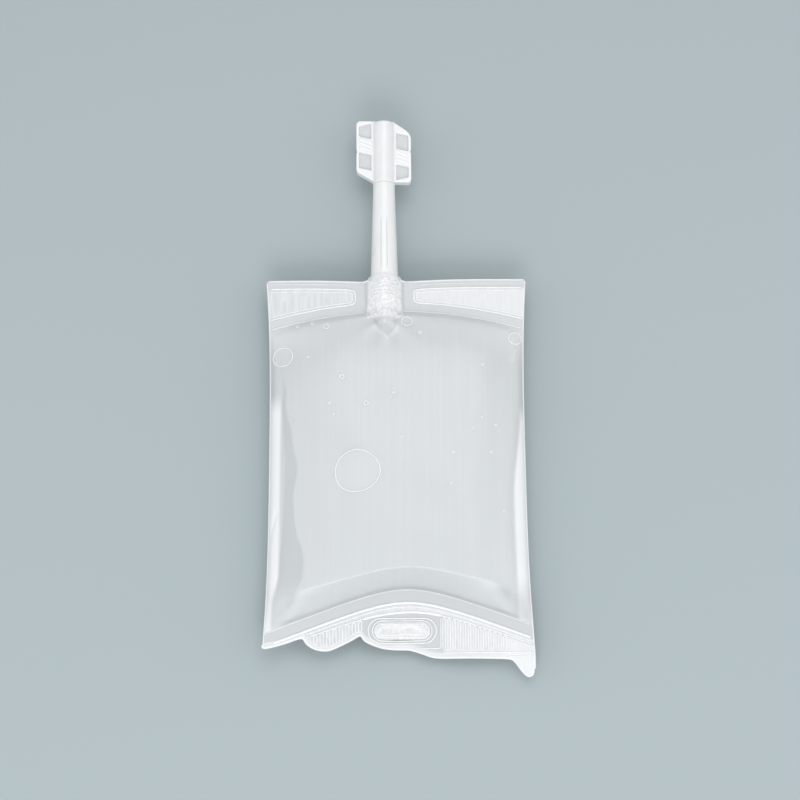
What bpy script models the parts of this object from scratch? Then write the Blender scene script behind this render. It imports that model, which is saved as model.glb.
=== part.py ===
# Small-volume intravenous fluid bag, filled and closed.
#
# The bag lies on its back as it would come to rest: +Z is up through its thickness,
# +Y runs from the hanger slot to the port, and +X is to the right seen from above.
# The origin is under the middle of the whole length, on the surface that it lies on.
# All sizes are in metres.

import bpy
import bmesh
import math
import numpy as np
from mathutils import Vector
from mathutils.bvhtree import BVHTree

# Film tube
FLAT_WIDTH = 0.0890          # width of the flattened film tube at its end seals
FILLED_DRAW = 0.0036         # how much narrower the filled middle is drawn
FILM_LENGTH = 0.1288         # port edge to the lower edge at the right
FILLED_DEPTH = 0.0186        # thickness of the filled middle
SEAM_HEIGHT = 0.0088         # height of the fold line that runs up both sides
FILM_WALL = 0.0004
SEAL_THICKNESS = 0.0009      # both films welded together

# Port end of the film
TOP_SEAL_DEPTH = 0.0114      # port edge to the inner line of the seal, beside the port
TOP_SEAL_SAG = 0.0062        # how far that line curves away towards the sides
TOP_EDGE_DIP = 0.0011        # how far the port edge is drawn down at the port
TOP_EDGE_DIP_REACH = 0.0160
SEAL_RISE = 0.0004           # how far the port lifts the seam line above its axis level
WEDGE_EDGE_MARGIN = 0.0028   # port edge to the upper line of a wedge panel
WEDGE_SEAL_MARGIN = 0.0032   # inner seal line to the lower line of a wedge panel
WEDGE_PORT_MARGIN = 0.0029   # saddle to the round inner end of a wedge panel

# Hanger end of the film
HANGER_SEAL_DEPTH = 0.0218   # lower edge to the crown of the inner seal line
HANGER_SEAL_SAG = 0.0130     # how far that line curves away towards the sides
HANGER_SEAL_SHIFT = 0.0030   # sideways place of its crown
HANGER_SEAL_CROWN = 0.0140   # half width of the round crown
HANGER_BAND = 0.0042         # clear band between the seal's two lines
HANGER_DROOP = 0.0056        # how far the empty flange sinks towards the surface
FLANGE_WAVE = 0.0007         # height of the ripples in that flange
TAB_REACH = 0.0060           # spur of film below the right corner
TAB_WIDTH = 0.0060
TAB_DROOP = 0.0012
DROOP_CURVE = 1.15           # exponent of that sinking
RIPPLES = ((9.0, 0.8, 1.0), (17.0, 2.0, 0.6))   # turn rate, phase, share of the height

# Wavy lower edge: place as a share of the half width, rise above the lower edge
EDGE_WAVE = (
    (-1.005, 0.0042), (-0.985, 0.0034), (-0.852, 0.0048), (-0.717, 0.0067), (-0.679, 0.0049),
    (-0.636, 0.0036), (-0.589, 0.0029), (-0.508, 0.0029), (-0.360, 0.0058), (-0.283, 0.0075),
    (-0.243, 0.0056), (-0.139, 0.0037), (-0.040, 0.0031), (0.083, 0.0029), (0.180, 0.0016),
    (0.283, 0.0003), (0.526, 0.0001), (0.700, 0.0000),
)

# Spur at the right corner: place inwards in tab widths, fall in tab reaches
SPUR = ((1.35, 0.05), (1.05, 0.20), (0.60, 0.78), (0.30, 1.00), (0.07, 0.86), (0.0, 0.55), (-1.0, 0.30))

SPUR_ROWS = (1.3, 0.6)       # rows of the film's skin below the lower edge, in tab reaches

# Hanger slot and its panels
SLOT_LENGTH = 0.0188
SLOT_WIDTH = 0.0057
SLOT_SHIFT = 0.0012          # sideways place of the slot
SLOT_EDGE_DISTANCE = 0.0087  # lower edge to the middle of the slot
SLOT_RIM_WIDTH = 0.0011
SLOT_RIM_MARGIN = 0.0003     # slot to the inner side of its raised rim
SLOT_PANEL_LENGTH = 0.0266   # plain panel round the slot
RIB_PITCH = 0.00125
RIB_WIDTH = 0.00060
RIB_HEIGHT = 0.00032
RIB_EDGE_MARGIN = 0.0022     # lower end of a rib to the lower edge
LEFT_RIBS = 14
RIGHT_RIBS = 17
BORDER_WIDTH = 0.00070
BORDER_HEIGHT = 0.00036
ARC_WIDTH = 0.00091          # raised line above the slot

# Film over the filled middle
TOP_SHOULDER = 0.0270        # length over which the film rises from the port seal
HANGER_SHOULDER = 0.0190     # the same at the hanger end
CREASE_DISTANCE = 0.0066     # hanger seal to the crease where the slope meets the filled belly
CREASE_SPREAD = 0.0046       # how much further in it lies at the sides
CREASE_HEIGHT = 0.86         # share of the full depth reached at the crease
CREASE_CURVE = 0.80          # exponent of the slope below the crease
SIDE_FULLNESS = 2.7          # exponents of the section's superellipse
SIDE_ROUNDNESS = 2.1
BACK_FULLNESS = 1.3          # how far the lower film is pressed flat by what the bag lies on
SIDE_INSET_RATIO = 1.8       # inner skins stand further in at the steep sides and ends
END_INSET_RATIO = 1.8
CORNER_ROUNDING = 1.6        # extra share of that inset in the corners
PUCKER_HEIGHT = 0.00055      # radial folds below the port
PUCKER_REACH = 0.0130
CORNER_FOLD_DEPTH = 0.0011   # one crease running in from each corner
CORNER_FOLD_WIDTH = 0.0030
CORNER_FOLD_LENGTH = 0.0260
CORNER_FOLD_START = 0.0035   # side seam to the crease where it begins
CORNER_FOLD_LEAN = 0.22      # how far the crease leans inwards along its length
PUCKERS = 7                  # folds in a full turn round the port's foot
END_FULLNESS = 2.2           # exponents of the curve by which the film rises from an end
END_ROUNDNESS = 0.72

# Port tube, welded between the films
PORT_SHIFT = -0.0040         # sideways place of the port's axis
PORT_AXIS_HEIGHT = 0.0100
PORT_REACH = 0.0351          # port edge of the film to the tube's free end
PORT_BASE_DIAMETER = 0.0094
PORT_NECK_DIAMETER = 0.0077
PORT_BORE = 0.0062
PORT_INSERTION = 0.0144      # how far the port reaches below the film's edge
BOAT_WIDTH = 0.0112          # the boat-shaped foot in the weld
BOAT_RISE = 0.0005           # foot beyond the tube's radius
BOAT_POINT = 1.8             # exponent of its eye-shaped section
BOAT_BLUNTNESS = 0.12        # share of its height that is round rather than pointed
BOAT_STAND_OUT = 0.0009      # foot above the film's edge
BOAT_RIBS = 5
BOAT_RIB_DEPTH = 0.00030
BOAT_RIB_FLANK = 0.12        # share of a rib's pitch that each flank takes
PORT_COLLAR = 0.0012         # straight part of the tube above the foot
PORT_LIP = 0.0036            # length of the straight neck at the free end, before the taper
PORT_EDGE = 0.0002           # chamfer at the free end
WELD_RIBS = 5                # the same ribs seen through the film
WELD_RIB_PITCH = 0.00125
WELD_RIB_WIDTH = 0.00060
WELD_RIB_HEIGHT = 0.00030
SADDLE_SKIRT = 0.0008        # film beside the foot where both sheets meet
TENT_REACH = 0.0085          # how far the film stays drawn up beyond the foot's inner end
TENT_START = 0.0035          # how soon the liquid fills that tent below the foot
SADDLE_CROWN = 1.7           # exponents of the film's section over the foot
SADDLE_FLARE = 1.25
SADDLE_LIFT_REACH = 1.2      # how far the port lifts the seam, beside the saddle's half width
WELD_RIB_REACH = 0.68        # half length of a weld rib beside the saddle's half width
MEMBRANE_THICKNESS = 0.0008
MEMBRANE_DEPTH = 0.0205      # free end of the tube to the membrane

# Twist-off cap
HEAD_LENGTH = 0.0233
HEAD_WIDTH = 0.0192
HEAD_THICKNESS = 0.0030
HEAD_SLOPE = 0.0044          # how far the sloping side of each wing is cut back
COLUMN_DIAMETER = 0.0078
WING_ROOT = 0.42             # lower end of a sloping side, beside the column's diameter
WEB_THICKNESS = 0.0011       # floor of the recessed windows
WINDOW_RIM = 0.00085         # rim of a wing round its windows
WINDOW_BAR = 0.0058          # bar between a wing's two windows
WINDOW_TILT = 0.0011         # how far a window's sides slope
WINDOW_FOOT = 0.0012         # rim between the lower windows and the sloping sides
HEAD_EDGE_RADIUS = 0.00035
WING_CORNER = 0.0012
WING_NOTCH = 0.00035         # depth of the shallow notch in a wing's outer side
WING_NOTCH_LENGTH = 0.0016
BAR_RIDGES = 3               # slanting ridges on each bar
BAR_RIDGE_WIDTH = 0.0005
BAR_RIDGE_HEIGHT = 0.00025
BAR_RIDGE_PITCH = 0.0015
BAR_RIDGE_SLANT = 0.40       # how far a ridge falls along its length
PLUG_LENGTH = 0.0130
PLUG_CLEARANCE = 0.0004      # plug to bore, all round

# Fits
GAP = 0.0003                 # clearance between pieces that touch

# Liquid and its bubbles: place across, place along from the port edge, radius
BUBBLES = (
    (-0.0132, 0.0687, 0.0072),
    (-0.0386, 0.0281, 0.0034),
    (0.0036, 0.0160, 0.0018),
    (0.0405, 0.0216, 0.0022),
    (-0.0238, 0.0173, 0.0010),
)
BUBBLE_DEPTH = 0.42          # depth of a bubble's hollow beside its radius

# Rows and columns of the film's skin. A crowded place is its share, the spacing there and its reach
COLUMN_SPACING = 0.150
PORT_COLUMNS = (0.036, 0.15)
SIDE_COLUMNS = ((-1.0, 0.030, 0.07), (-0.64, 0.06, 0.10), (0.64, 0.06, 0.10), (1.0, 0.030, 0.07))
ROW_SPACING = 0.105
SEAL_ROWS = (1.0, 0.040, 0.08)
FLANGE_ROWS = (0.0, 0.33, 0.67)      # lower edge to the hanger seal
CREASE_ROWS = (0.0, 0.2, 0.5, 0.8)   # hanger seal to the crease

ROUND_SIDES = 24

# Places that follow from the sizes
OVERALL_LENGTH = FILM_LENGTH + TAB_REACH + PORT_REACH + GAP + HEAD_LENGTH
HEAD_BASE_Y = OVERALL_LENGTH / 2 - HEAD_LENGTH
PORT_END_Y = HEAD_BASE_Y - GAP
EDGE_Y = PORT_END_Y - PORT_REACH
LOWER_EDGE_Y = EDGE_Y - FILM_LENGTH
PORT_FOOT_Y = EDGE_Y - PORT_INSERTION
FILLED_WIDTH = FLAT_WIDTH - FILLED_DRAW
HALF_SEAL = SEAL_THICKNESS / 2
SADDLE_HALF_WIDTH = BOAT_WIDTH / 2 + GAP + FILM_WALL + SADDLE_SKIRT
SLOT_Y = LOWER_EDGE_Y + SLOT_EDGE_DISTANCE
SIDE_SHARE = 1 - 6 * BORDER_WIDTH / FLAT_WIDTH


def smooth_step(value):
    value = min(max(value, 0.0), 1.0)
    return value * value * (3 - 2 * value)


def bell(distance, reach):
    return math.exp(-(distance / reach) ** 2)


# Lines on the film, each a height along Y for a place across

def top_edge(x):
    return EDGE_Y - TOP_EDGE_DIP * bell(x - PORT_SHIFT, TOP_EDGE_DIP_REACH)


def top_seal(x):
    return EDGE_Y - TOP_SEAL_DEPTH - TOP_SEAL_SAG * (2 * x / FLAT_WIDTH) ** 2


def hanger_seal(x):
    """A round crown that straightens towards the sides."""
    across = math.hypot(1, (x - HANGER_SEAL_SHIFT) / HANGER_SEAL_CROWN) - 1
    full = math.hypot(1, FLAT_WIDTH / 2 / HANGER_SEAL_CROWN) - 1
    return LOWER_EDGE_Y + HANGER_SEAL_DEPTH - HANGER_SEAL_SAG * across / full


def hanger_arc(x):
    return hanger_seal(x) - HANGER_BAND


def half_width(y):
    along = 2 * (y - LOWER_EDGE_Y) / FILM_LENGTH - 1
    filled = max(1 - abs(along) ** 3, 0.0)
    return FLAT_WIDTH / 2 - (FLAT_WIDTH - FILLED_WIDTH) / 2 * filled


def on_film(share, line):
    """Where a line meets a share of the film's half width."""
    y = line(share * FLAT_WIDTH / 2)
    return share * half_width(y), y


# Height of the surface on which both sheets meet

def seam_height(x, y):
    across = 2 * x / FLAT_WIDTH
    near_top = smooth_step((y - top_seal(x) + TOP_SHOULDER) / TOP_SHOULDER)
    lift = (PORT_AXIS_HEIGHT - SEAM_HEIGHT) * bell(x - PORT_SHIFT, SADDLE_LIFT_REACH * SADDLE_HALF_WIDTH)
    corners = SEAL_RISE - 2 * SEAL_RISE * across ** 2
    height = SEAM_HEIGHT + near_top * (lift + corners * (1 - bell(x - PORT_SHIFT, SADDLE_HALF_WIDTH)))
    below = max(hanger_seal(x) - y, 0.0) / HANGER_SEAL_DEPTH
    ripple = sum(share * math.sin(across * rate + phase) for rate, phase, share in RIPPLES)
    height -= HANGER_DROOP * below ** DROOP_CURVE + FLANGE_WAVE * ripple * below
    spur = smooth_step((x - FLAT_WIDTH / 2 + 2 * TAB_WIDTH) / TAB_WIDTH)
    height -= TAB_DROOP * spur * smooth_step(below)
    return max(height, HALF_SEAL)


# Half thickness of the film where it wraps the port's foot

def saddle(x, y, allowance):
    reach = abs(x - PORT_SHIFT) / SADDLE_HALF_WIDTH
    if reach >= 1:
        return 0.0
    crown = PORT_BASE_DIAMETER / 2 + BOAT_RISE + GAP + allowance
    under = smooth_step((y - PORT_FOOT_Y + TENT_REACH) / TENT_REACH)
    return crown * (1 - reach ** SADDLE_CROWN) ** SADDLE_FLARE * under


def shoulder(distance, length):
    share = min(max(distance / length, 0.0), 1.0)
    return (1 - (1 - share) ** END_FULLNESS) ** END_ROUNDNESS


def crease(x):
    """How far the crease lies from the hanger seal."""
    return CREASE_DISTANCE + CREASE_SPREAD * (2 * x / FLAT_WIDTH) ** 2


def hanger_slope(distance, to_crease):
    """A slope up to the crease, then the belly's gentle crown."""
    if distance <= 0:
        return 0.0
    if distance < to_crease:
        return CREASE_HEIGHT * (distance / to_crease) ** CREASE_CURVE
    left = min((distance - to_crease) / (HANGER_SHOULDER - to_crease), 1.0)
    return 1 - (1 - CREASE_HEIGHT) * (1 - left) ** 2


def fold_pattern(x, y):
    from_port = math.hypot(x - PORT_SHIFT, y - PORT_FOOT_Y)
    angle = math.atan2(x - PORT_SHIFT, PORT_FOOT_Y - y)
    start = smooth_step(from_port / PUCKER_REACH * 3)
    relief = PUCKER_HEIGHT * math.cos(angle * PUCKERS) * bell(from_port, PUCKER_REACH) * start
    for side in (-1, 1):
        for corner_y, direction in ((top_seal(FLAT_WIDTH / 2), -1), (hanger_seal(side * FLAT_WIDTH / 2), 1)):
            inward = FILLED_WIDTH / 2 - side * x
            along = (y - corner_y) * direction
            off_line = inward - CORNER_FOLD_LEAN * along - CORNER_FOLD_START
            fade = bell(along - CORNER_FOLD_LENGTH / 2, CORNER_FOLD_LENGTH / 2)
            relief -= CORNER_FOLD_DEPTH * bell(off_line, CORNER_FOLD_WIDTH) * fade
    return relief


def end_inset(place, inset):
    """How far an inner skin stays off the seal lines, more in its rounded corners."""
    return END_INSET_RATIO * inset * (1 + CORNER_ROUNDING * abs(2 * place / FLAT_WIDTH) ** 8)


# Both faces of the film tube, or of what lies inside it at a given inset

def sheet_heights(x, y, across, inset):
    place = x * FLAT_WIDTH / 2 / half_width(y)
    seam = seam_height(x, y)
    end = end_inset(place, inset)
    ends = shoulder(top_seal(place) - end - y, TOP_SHOULDER)
    ends *= hanger_slope(y - hanger_seal(place) - end, crease(place))
    section = max(1 - abs(across) ** SIDE_FULLNESS, 0.0) ** (1 / SIDE_ROUNDNESS)
    fullness = section * ends
    relief = fold_pattern(x, y) * smooth_step(2.5 * fullness)
    rise = HALF_SEAL + (FILLED_DEPTH - seam - HALF_SEAL) * fullness + relief - inset
    fall = HALF_SEAL + BACK_FULLNESS * (seam - HALF_SEAL) * fullness - inset
    tent = saddle(x, y, FILM_WALL)
    if inset > 0:
        below_foot = PORT_FOOT_Y - GAP - END_INSET_RATIO * inset - y
        tent = (tent - inset) * smooth_step(below_foot / TENT_START)
    thinnest = max(HALF_SEAL - inset, FILM_WALL / 5, tent)
    upper = seam + max(rise, thinnest)
    lower = seam - max(fall, thinnest)
    return upper, max(lower, inset)


def stations(low, high, crowded, target):
    """Places from low to high, closer together at the crowded ones."""
    fine = np.linspace(low, high, 2001)
    density = np.full_like(fine, 1 / target)
    for place, spacing, reach in crowded:
        density += (1 / spacing - 1 / target) * np.exp(-((fine - place) / reach) ** 2)
    running = np.concatenate(([0.0], np.cumsum((density[1:] + density[:-1]) / 2 * np.diff(fine))))
    count = int(round(running[-1]))
    return [float(place) for place in np.interp(np.linspace(0, running[-1], count + 1), running, fine)]


# Scene, collections, materials

for old in list(bpy.data.objects):
    bpy.data.objects.remove(old)

parts = bpy.data.collections.new("iv_fluid_bag")
cutters = bpy.data.collections.new("cutters")
bpy.context.scene.collection.children.link(parts)
bpy.context.scene.collection.children.link(cutters)


def make_material(name, colour, roughness, transmission=0.0, alpha=1.0):
    material = bpy.data.materials.new(name)
    material.use_nodes = True
    shader = material.node_tree.nodes["Principled BSDF"]
    shader.inputs["Base Color"].default_value = (*colour, 1.0)
    shader.inputs["Roughness"].default_value = roughness
    shader.inputs["Metallic"].default_value = 0.0
    shader.inputs["Transmission Weight"].default_value = transmission
    shader.inputs["Alpha"].default_value = alpha
    return material


film_material = make_material("translucent_film", (0.80, 0.84, 0.86), 0.22, 0.5)
liquid_material = make_material("clear_solution", (0.86, 0.90, 0.92), 0.03, 1.0)
port_material = make_material("port_plastic", (0.84, 0.87, 0.88), 0.30, 0.3)
cap_material = make_material("cap_plastic", (0.90, 0.92, 0.93), 0.34)


def add_object(name, mesh, collection, material=None):
    item = bpy.data.objects.new(name, mesh)
    collection.objects.link(item)
    if material:
        mesh.materials.append(material)
    if collection is cutters:
        item.hide_render = True
        item.display_type = "WIRE"
    return item


def finish_mesh(name, working):
    mesh = bpy.data.meshes.new(name)
    bmesh.ops.recalc_face_normals(working, faces=working.faces)
    working.to_mesh(mesh)
    working.free()
    return mesh


def shade_round(item, sharp_angle=35):
    item.data.shade_smooth()
    item.data.set_sharp_from_angle(angle=math.radians(sharp_angle))


def add_boolean(target, cutter, operation):
    cut = target.modifiers.new(cutter.name, "BOOLEAN")
    cut.operation = operation
    cut.object = cutter
    cut.solver = "EXACT"


def loft_rings(working, rings, close_ends=True):
    """Join rings of equal counts of points into a skin, in their order."""
    loops = [[working.verts.new(point) for point in ring] for ring in rings]
    for before, after in zip(loops, loops[1:]):
        for first in range(len(before)):
            second = (first + 1) % len(before)
            working.faces.new((before[first], before[second], after[second], after[first]))
    if close_ends:
        working.faces.new(loops[0])
        working.faces.new(loops[-1])


def prism(name, outline, low, high, collection=None):
    """A flat outline drawn up from one height to another."""
    working = bmesh.new()
    loft_rings(working, [[(x, y, z) for x, y in outline] for z in (low, high)])
    return add_object(name, finish_mesh(name, working), collection or cutters)


def turned(name, profile, collection, material=None):
    """A profile of (radius, place along Y) pairs turned round the Y axis."""
    working = bmesh.new()
    points = [working.verts.new((radius, along, 0)) for radius, along in profile]
    for before, after in zip(points, points[1:]):
        working.edges.new((before, after))
    mesh = bpy.data.meshes.new(name)
    working.to_mesh(mesh)
    working.free()
    item = add_object(name, mesh, collection, material)
    screw = item.modifiers.new("turn", "SCREW")
    screw.axis = "Y"
    screw.steps = ROUND_SIDES
    screw.render_steps = ROUND_SIDES
    screw.use_merge_vertices = True
    screw.merge_threshold = 0.00001
    return item


def rounded_corner(before, corner, after, radius, steps=4):
    """Points of an arc that replaces a corner of an outline."""
    corner = Vector(corner)
    start = (Vector(before) - corner).normalized()
    end = (Vector(after) - corner).normalized()
    half = start.angle(end) / 2
    back = radius / math.tan(half)
    middle = corner + (start + end).normalized() * radius / math.sin(half)
    first = corner + start * back - middle
    last = corner + end * back - middle
    turn = first.angle_signed(last)
    points = []
    for step in range(steps + 1):
        angle = -turn * step / steps
        spot = Vector((first.x * math.cos(angle) - first.y * math.sin(angle),
                       first.x * math.sin(angle) + first.y * math.cos(angle)))
        points.append(tuple(middle + spot))
    return points


def round_outline(corners, radii, steps=4):
    points = []
    for index, corner in enumerate(corners):
        if radii[index] == 0:
            points.append(tuple(corner))
            continue
        before = corners[index - 1]
        after = corners[(index + 1) % len(corners)]
        points += rounded_corner(before, corner, after, radii[index], steps)
    return points


def split_corner(working, near, right, far_right, far, rising):
    """Two triangles whose shared edge runs in from the skin's corner."""
    if rising:
        working.faces.new((near, right, far_right))
        working.faces.new((near, far_right, far))
    else:
        working.faces.new((near, right, far))
        working.faces.new((right, far_right, far))


# Film tube, cavity and liquid share one form

def pillow(name, inset, collection, material=None):
    """The closed skin of the film tube, or of its inside at an inset."""
    near_port = (2 * PORT_SHIFT / FLAT_WIDTH, *PORT_COLUMNS)
    columns = stations(-1.0, 1.0, (near_port, *SIDE_COLUMNS), COLUMN_SPACING)
    body_rows = stations(0.0, 1.0, (SEAL_ROWS,), ROW_SPACING)
    side_inset = SIDE_INSET_RATIO * inset

    def spot(across, row_line):
        y = row_line(across * (FLAT_WIDTH / 2 - side_inset))
        return across * (half_width(y) - side_inset), y

    lines = []
    if inset == 0:
        for share in SPUR_ROWS:
            lines.append(lambda x, share=share: LOWER_EDGE_Y - share * TAB_REACH)
        for share in FLANGE_ROWS:
            lines.append(lambda x, share=share: LOWER_EDGE_Y + share * (hanger_seal(x) - LOWER_EDGE_Y))
    for share in CREASE_ROWS:
        lines.append(lambda x, share=share: hanger_seal(x) + end_inset(x, inset) + share * crease(x))
    for share in body_rows:
        lines.append(lambda x, share=share: (hanger_seal(x) + end_inset(x, inset) + crease(x)) * (1 - share)
                     + (top_seal(x) - end_inset(x, inset)) * share)
    if inset == 0:
        for share in (0.34, 0.67, 1.0):
            lines.append(lambda x, share=share: top_seal(x) * (1 - share) + top_edge(x) * share)

    working = bmesh.new()
    sheets = ([], [])
    for line in lines:
        rows = ([], [])
        for across in columns:
            x, y = spot(across, line)
            for row, height in zip(rows, sheet_heights(x, y, across, inset)):
                row.append(working.verts.new((x, y, height)))
        for sheet, row in zip(sheets, rows):
            sheet.append(row)
    upper, lower = sheets
    last_row = len(lines) - 2
    last_column = len(columns) - 2
    for sheet in sheets:
        for row in range(last_row + 1):
            for column in range(last_column + 1):
                near, right = sheet[row][column:column + 2]
                far, far_right = sheet[row + 1][column:column + 2]
                if row in (0, last_row) and column in (0, last_column):
                    split_corner(working, near, right, far_right, far, (row == 0) == (column == 0))
                else:
                    working.faces.new((near, right, far_right, far))
    for index in range(len(columns) - 1):
        for row in (0, -1):
            working.faces.new((upper[row][index], upper[row][index + 1],
                               lower[row][index + 1], lower[row][index]))
    for row in range(len(lines) - 1):
        for column in (0, -1):
            working.faces.new((upper[row][column], upper[row + 1][column],
                               lower[row + 1][column], lower[row][column]))
    item = add_object(name, finish_mesh(name, working), collection, material)
    item.data.shade_smooth()
    return item


class FilmFace:
    """Finds the height of the film's skin at a place, from above or from below."""

    def __init__(self, film):
        corners = [vertex.co for vertex in film.data.vertices]
        self.tree = BVHTree.FromPolygons(corners, [tuple(face.vertices) for face in film.data.polygons])

    def height(self, x, y, side):
        start = Vector((x, y, side * 3 * FILLED_DEPTH))
        return self.tree.ray_cast(start, Vector((0, 0, -side)))[0].z


def raised_bar(working, face, path, width, height, side=1, closed=False):
    """A low bar that follows a path on one face of the film."""
    rings = []
    for index, (x, y) in enumerate(path):
        before = path[index - 1] if index or closed else path[index]
        after = path[(index + 1) % len(path)] if index < len(path) - 1 or closed else path[index]
        direction = (Vector(after) - Vector(before)).normalized()
        off = Vector((-direction.y, direction.x)) * width / 2
        ring = []
        for share, lift in ((1, -0.5), (0.7, 1), (-0.7, 1), (-1, -0.5)):
            spot = Vector((x, y)) + off * share
            base = face.height(spot.x, spot.y, side)
            ring.append((spot.x, spot.y, base + side * height * lift))
        rings.append(ring)
    if closed:
        rings.append(rings[0])
    if not closed:
        loft_rings(working, rings)
        return
    loops = [[working.verts.new(point) for point in ring] for ring in rings[:-1]]
    for index, before in enumerate(loops):
        after = loops[(index + 1) % len(loops)]
        for first in range(4):
            second = (first + 1) % 4
            working.faces.new((before[first], before[second], after[second], after[first]))


def stadium(middle_x, middle_y, length, width, steps=8):
    """Outline of a slot with round ends, anticlockwise."""
    radius = width / 2
    points = []
    for end in (1, -1):
        centre_x = middle_x + end * (length / 2 - radius)
        for step in range(steps + 1):
            angle = math.pi * (step / steps - 0.5)
            points.append((centre_x + end * radius * math.cos(angle),
                           middle_y + end * radius * math.sin(angle)))
    return points


def flange_bars(film):
    """Wedge panels, slot rim, hanger ribs and weld ribs, all raised on the film."""
    face = FilmFace(film)
    working = bmesh.new()
    for side in (-1, 1):
        inner = PORT_SHIFT + side * (SADDLE_HALF_WIDTH + WEDGE_PORT_MARGIN)
        upper_y = top_edge(inner) - WEDGE_EDGE_MARGIN
        lower_y = top_seal(inner) + WEDGE_SEAL_MARGIN
        radius = (upper_y - lower_y) / 2
        shoulder_x = inner + side * radius
        outer_x = side * SIDE_SHARE * half_width(upper_y)
        path = []
        for step in range(5):
            x = outer_x + (shoulder_x - outer_x) * step / 4
            path.append((x, top_edge(x) - WEDGE_EDGE_MARGIN))
        for step in range(1, 6):
            angle = math.pi * (0.5 + step / 6)
            path.append((shoulder_x + side * radius * math.cos(angle),
                         (upper_y + lower_y) / 2 + radius * math.sin(angle)))
        outer_x = side * SIDE_SHARE * half_width(top_seal(FLAT_WIDTH / 2) + WEDGE_SEAL_MARGIN)
        for step in range(6):
            x = shoulder_x + (outer_x - shoulder_x) * step / 5
            path.append((x, top_seal(x) + WEDGE_SEAL_MARGIN))
        raised_bar(working, face, path, BORDER_WIDTH, BORDER_HEIGHT)

    arc = [on_film(SIDE_SHARE * (step / 12 - 1), hanger_arc) for step in range(25)]
    raised_bar(working, face, arc, ARC_WIDTH, BORDER_HEIGHT)

    rim_growth = 2 * SLOT_RIM_MARGIN + SLOT_RIM_WIDTH
    rim = stadium(SLOT_SHIFT, SLOT_Y, SLOT_LENGTH + rim_growth, SLOT_WIDTH + rim_growth)
    raised_bar(working, face, rim, SLOT_RIM_WIDTH, BORDER_HEIGHT, closed=True)

    for side, count in ((-1, LEFT_RIBS), (1, RIGHT_RIBS)):
        for number in range(count):
            x = SLOT_SHIFT + side * (SLOT_PANEL_LENGTH / 2 + number * RIB_PITCH)
            top = hanger_arc(x) - BORDER_WIDTH - RIB_WIDTH / 2
            bottom = LOWER_EDGE_Y + RIB_EDGE_MARGIN
            if number == 0:
                bottom = LOWER_EDGE_Y + RIB_EDGE_MARGIN / 2
            raised_bar(working, face, [(x, top), (x, (top + bottom) / 2), (x, bottom)], RIB_WIDTH, RIB_HEIGHT)

    for side in (-1, 1):
        for number in range(WELD_RIBS):
            y = EDGE_Y - TOP_EDGE_DIP - WELD_RIB_PITCH * (number + 0.7)
            reach = SADDLE_HALF_WIDTH * WELD_RIB_REACH
            path = [(PORT_SHIFT + reach * (step / 5 - 1), y) for step in range(11)]
            raised_bar(working, face, path, WELD_RIB_WIDTH, WELD_RIB_HEIGHT, side)
    return add_object("raised_bars", finish_mesh("raised_bars", working), cutters)


def smooth_through(points, steps=3):
    """A smooth line through a few points, with more of them between each two."""
    ends = [Vector(points[0])] + [Vector(point) for point in points] + [Vector(points[-1])]
    line = []
    for a, b, c, d in zip(ends, ends[1:], ends[2:], ends[3:]):
        for step in range(steps):
            t = step / steps
            line.append(tuple(0.5 * (2 * b + (c - a) * t + (2 * a - 5 * b + 4 * c - d) * t ** 2
                                     + (3 * b - a - 3 * c + d) * t ** 3)))
    line.append(tuple(points[-1]))
    return line


def lower_trim():
    """Everything below the wavy lower edge of the film."""
    right = FLAT_WIDTH / 2
    wave = [(share * right, rise) for share, rise in EDGE_WAVE]
    wave.insert(0, (wave[0][0] - TAB_WIDTH, wave[0][1]))
    spur = [(right - inward * TAB_WIDTH, -fall * TAB_REACH) for inward, fall in SPUR]
    outline = [(x, LOWER_EDGE_Y + rise) for x, rise in smooth_through(wave + spur, 2)]
    outline += [(right + TAB_WIDTH, LOWER_EDGE_Y - 3 * TAB_REACH), (wave[0][0], LOWER_EDGE_Y - 3 * TAB_REACH)]
    return prism("lower_trim", outline, -FILLED_DEPTH, 2 * FILLED_DEPTH)


def boat_section(clearance, scale=1.0, points=16):
    """Eye-shaped section of the port's foot, in X and Z about the port's axis."""
    half_long = (BOAT_WIDTH / 2) * scale + clearance
    half_high = (PORT_BASE_DIAMETER / 2 + BOAT_RISE) * scale + clearance
    ring = []
    for step in range(points):
        angle = 2 * math.pi * step / points
        x = half_long * math.cos(angle)
        side = math.copysign(1, math.sin(angle)) if step % (points // 2) else 0
        pointed = half_high * (1 - abs(x / half_long) ** BOAT_POINT)
        round_part = half_high * abs(math.sin(angle))
        ring.append((x, side * (pointed * (1 - BOAT_BLUNTNESS) + round_part * BOAT_BLUNTNESS)))
    return ring


def boat(name, clearance, low, high, ribbed, collection, material=None):
    """The foot of the port, or the space that it takes in the film."""
    sections = [(low, 1.0), (high, 1.0)]
    if ribbed:
        pitch = (high - low) / (2 * BOAT_RIBS + 1)
        sections = []
        for number in range(2 * BOAT_RIBS + 1):
            scale = 1.0 if number % 2 == 0 else 1 - 2 * BOAT_RIB_DEPTH / PORT_BASE_DIAMETER
            sections.append((low + pitch * (number + BOAT_RIB_FLANK), scale))
            sections.append((low + pitch * (number + 1 - BOAT_RIB_FLANK), scale))
    working = bmesh.new()
    rings = []
    for y, scale in sections:
        rings.append([(PORT_SHIFT + x, y, PORT_AXIS_HEIGHT + z) for x, z in boat_section(clearance, scale)])
    loft_rings(working, rings)
    return add_object(name, finish_mesh(name, working), collection, material)


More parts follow.
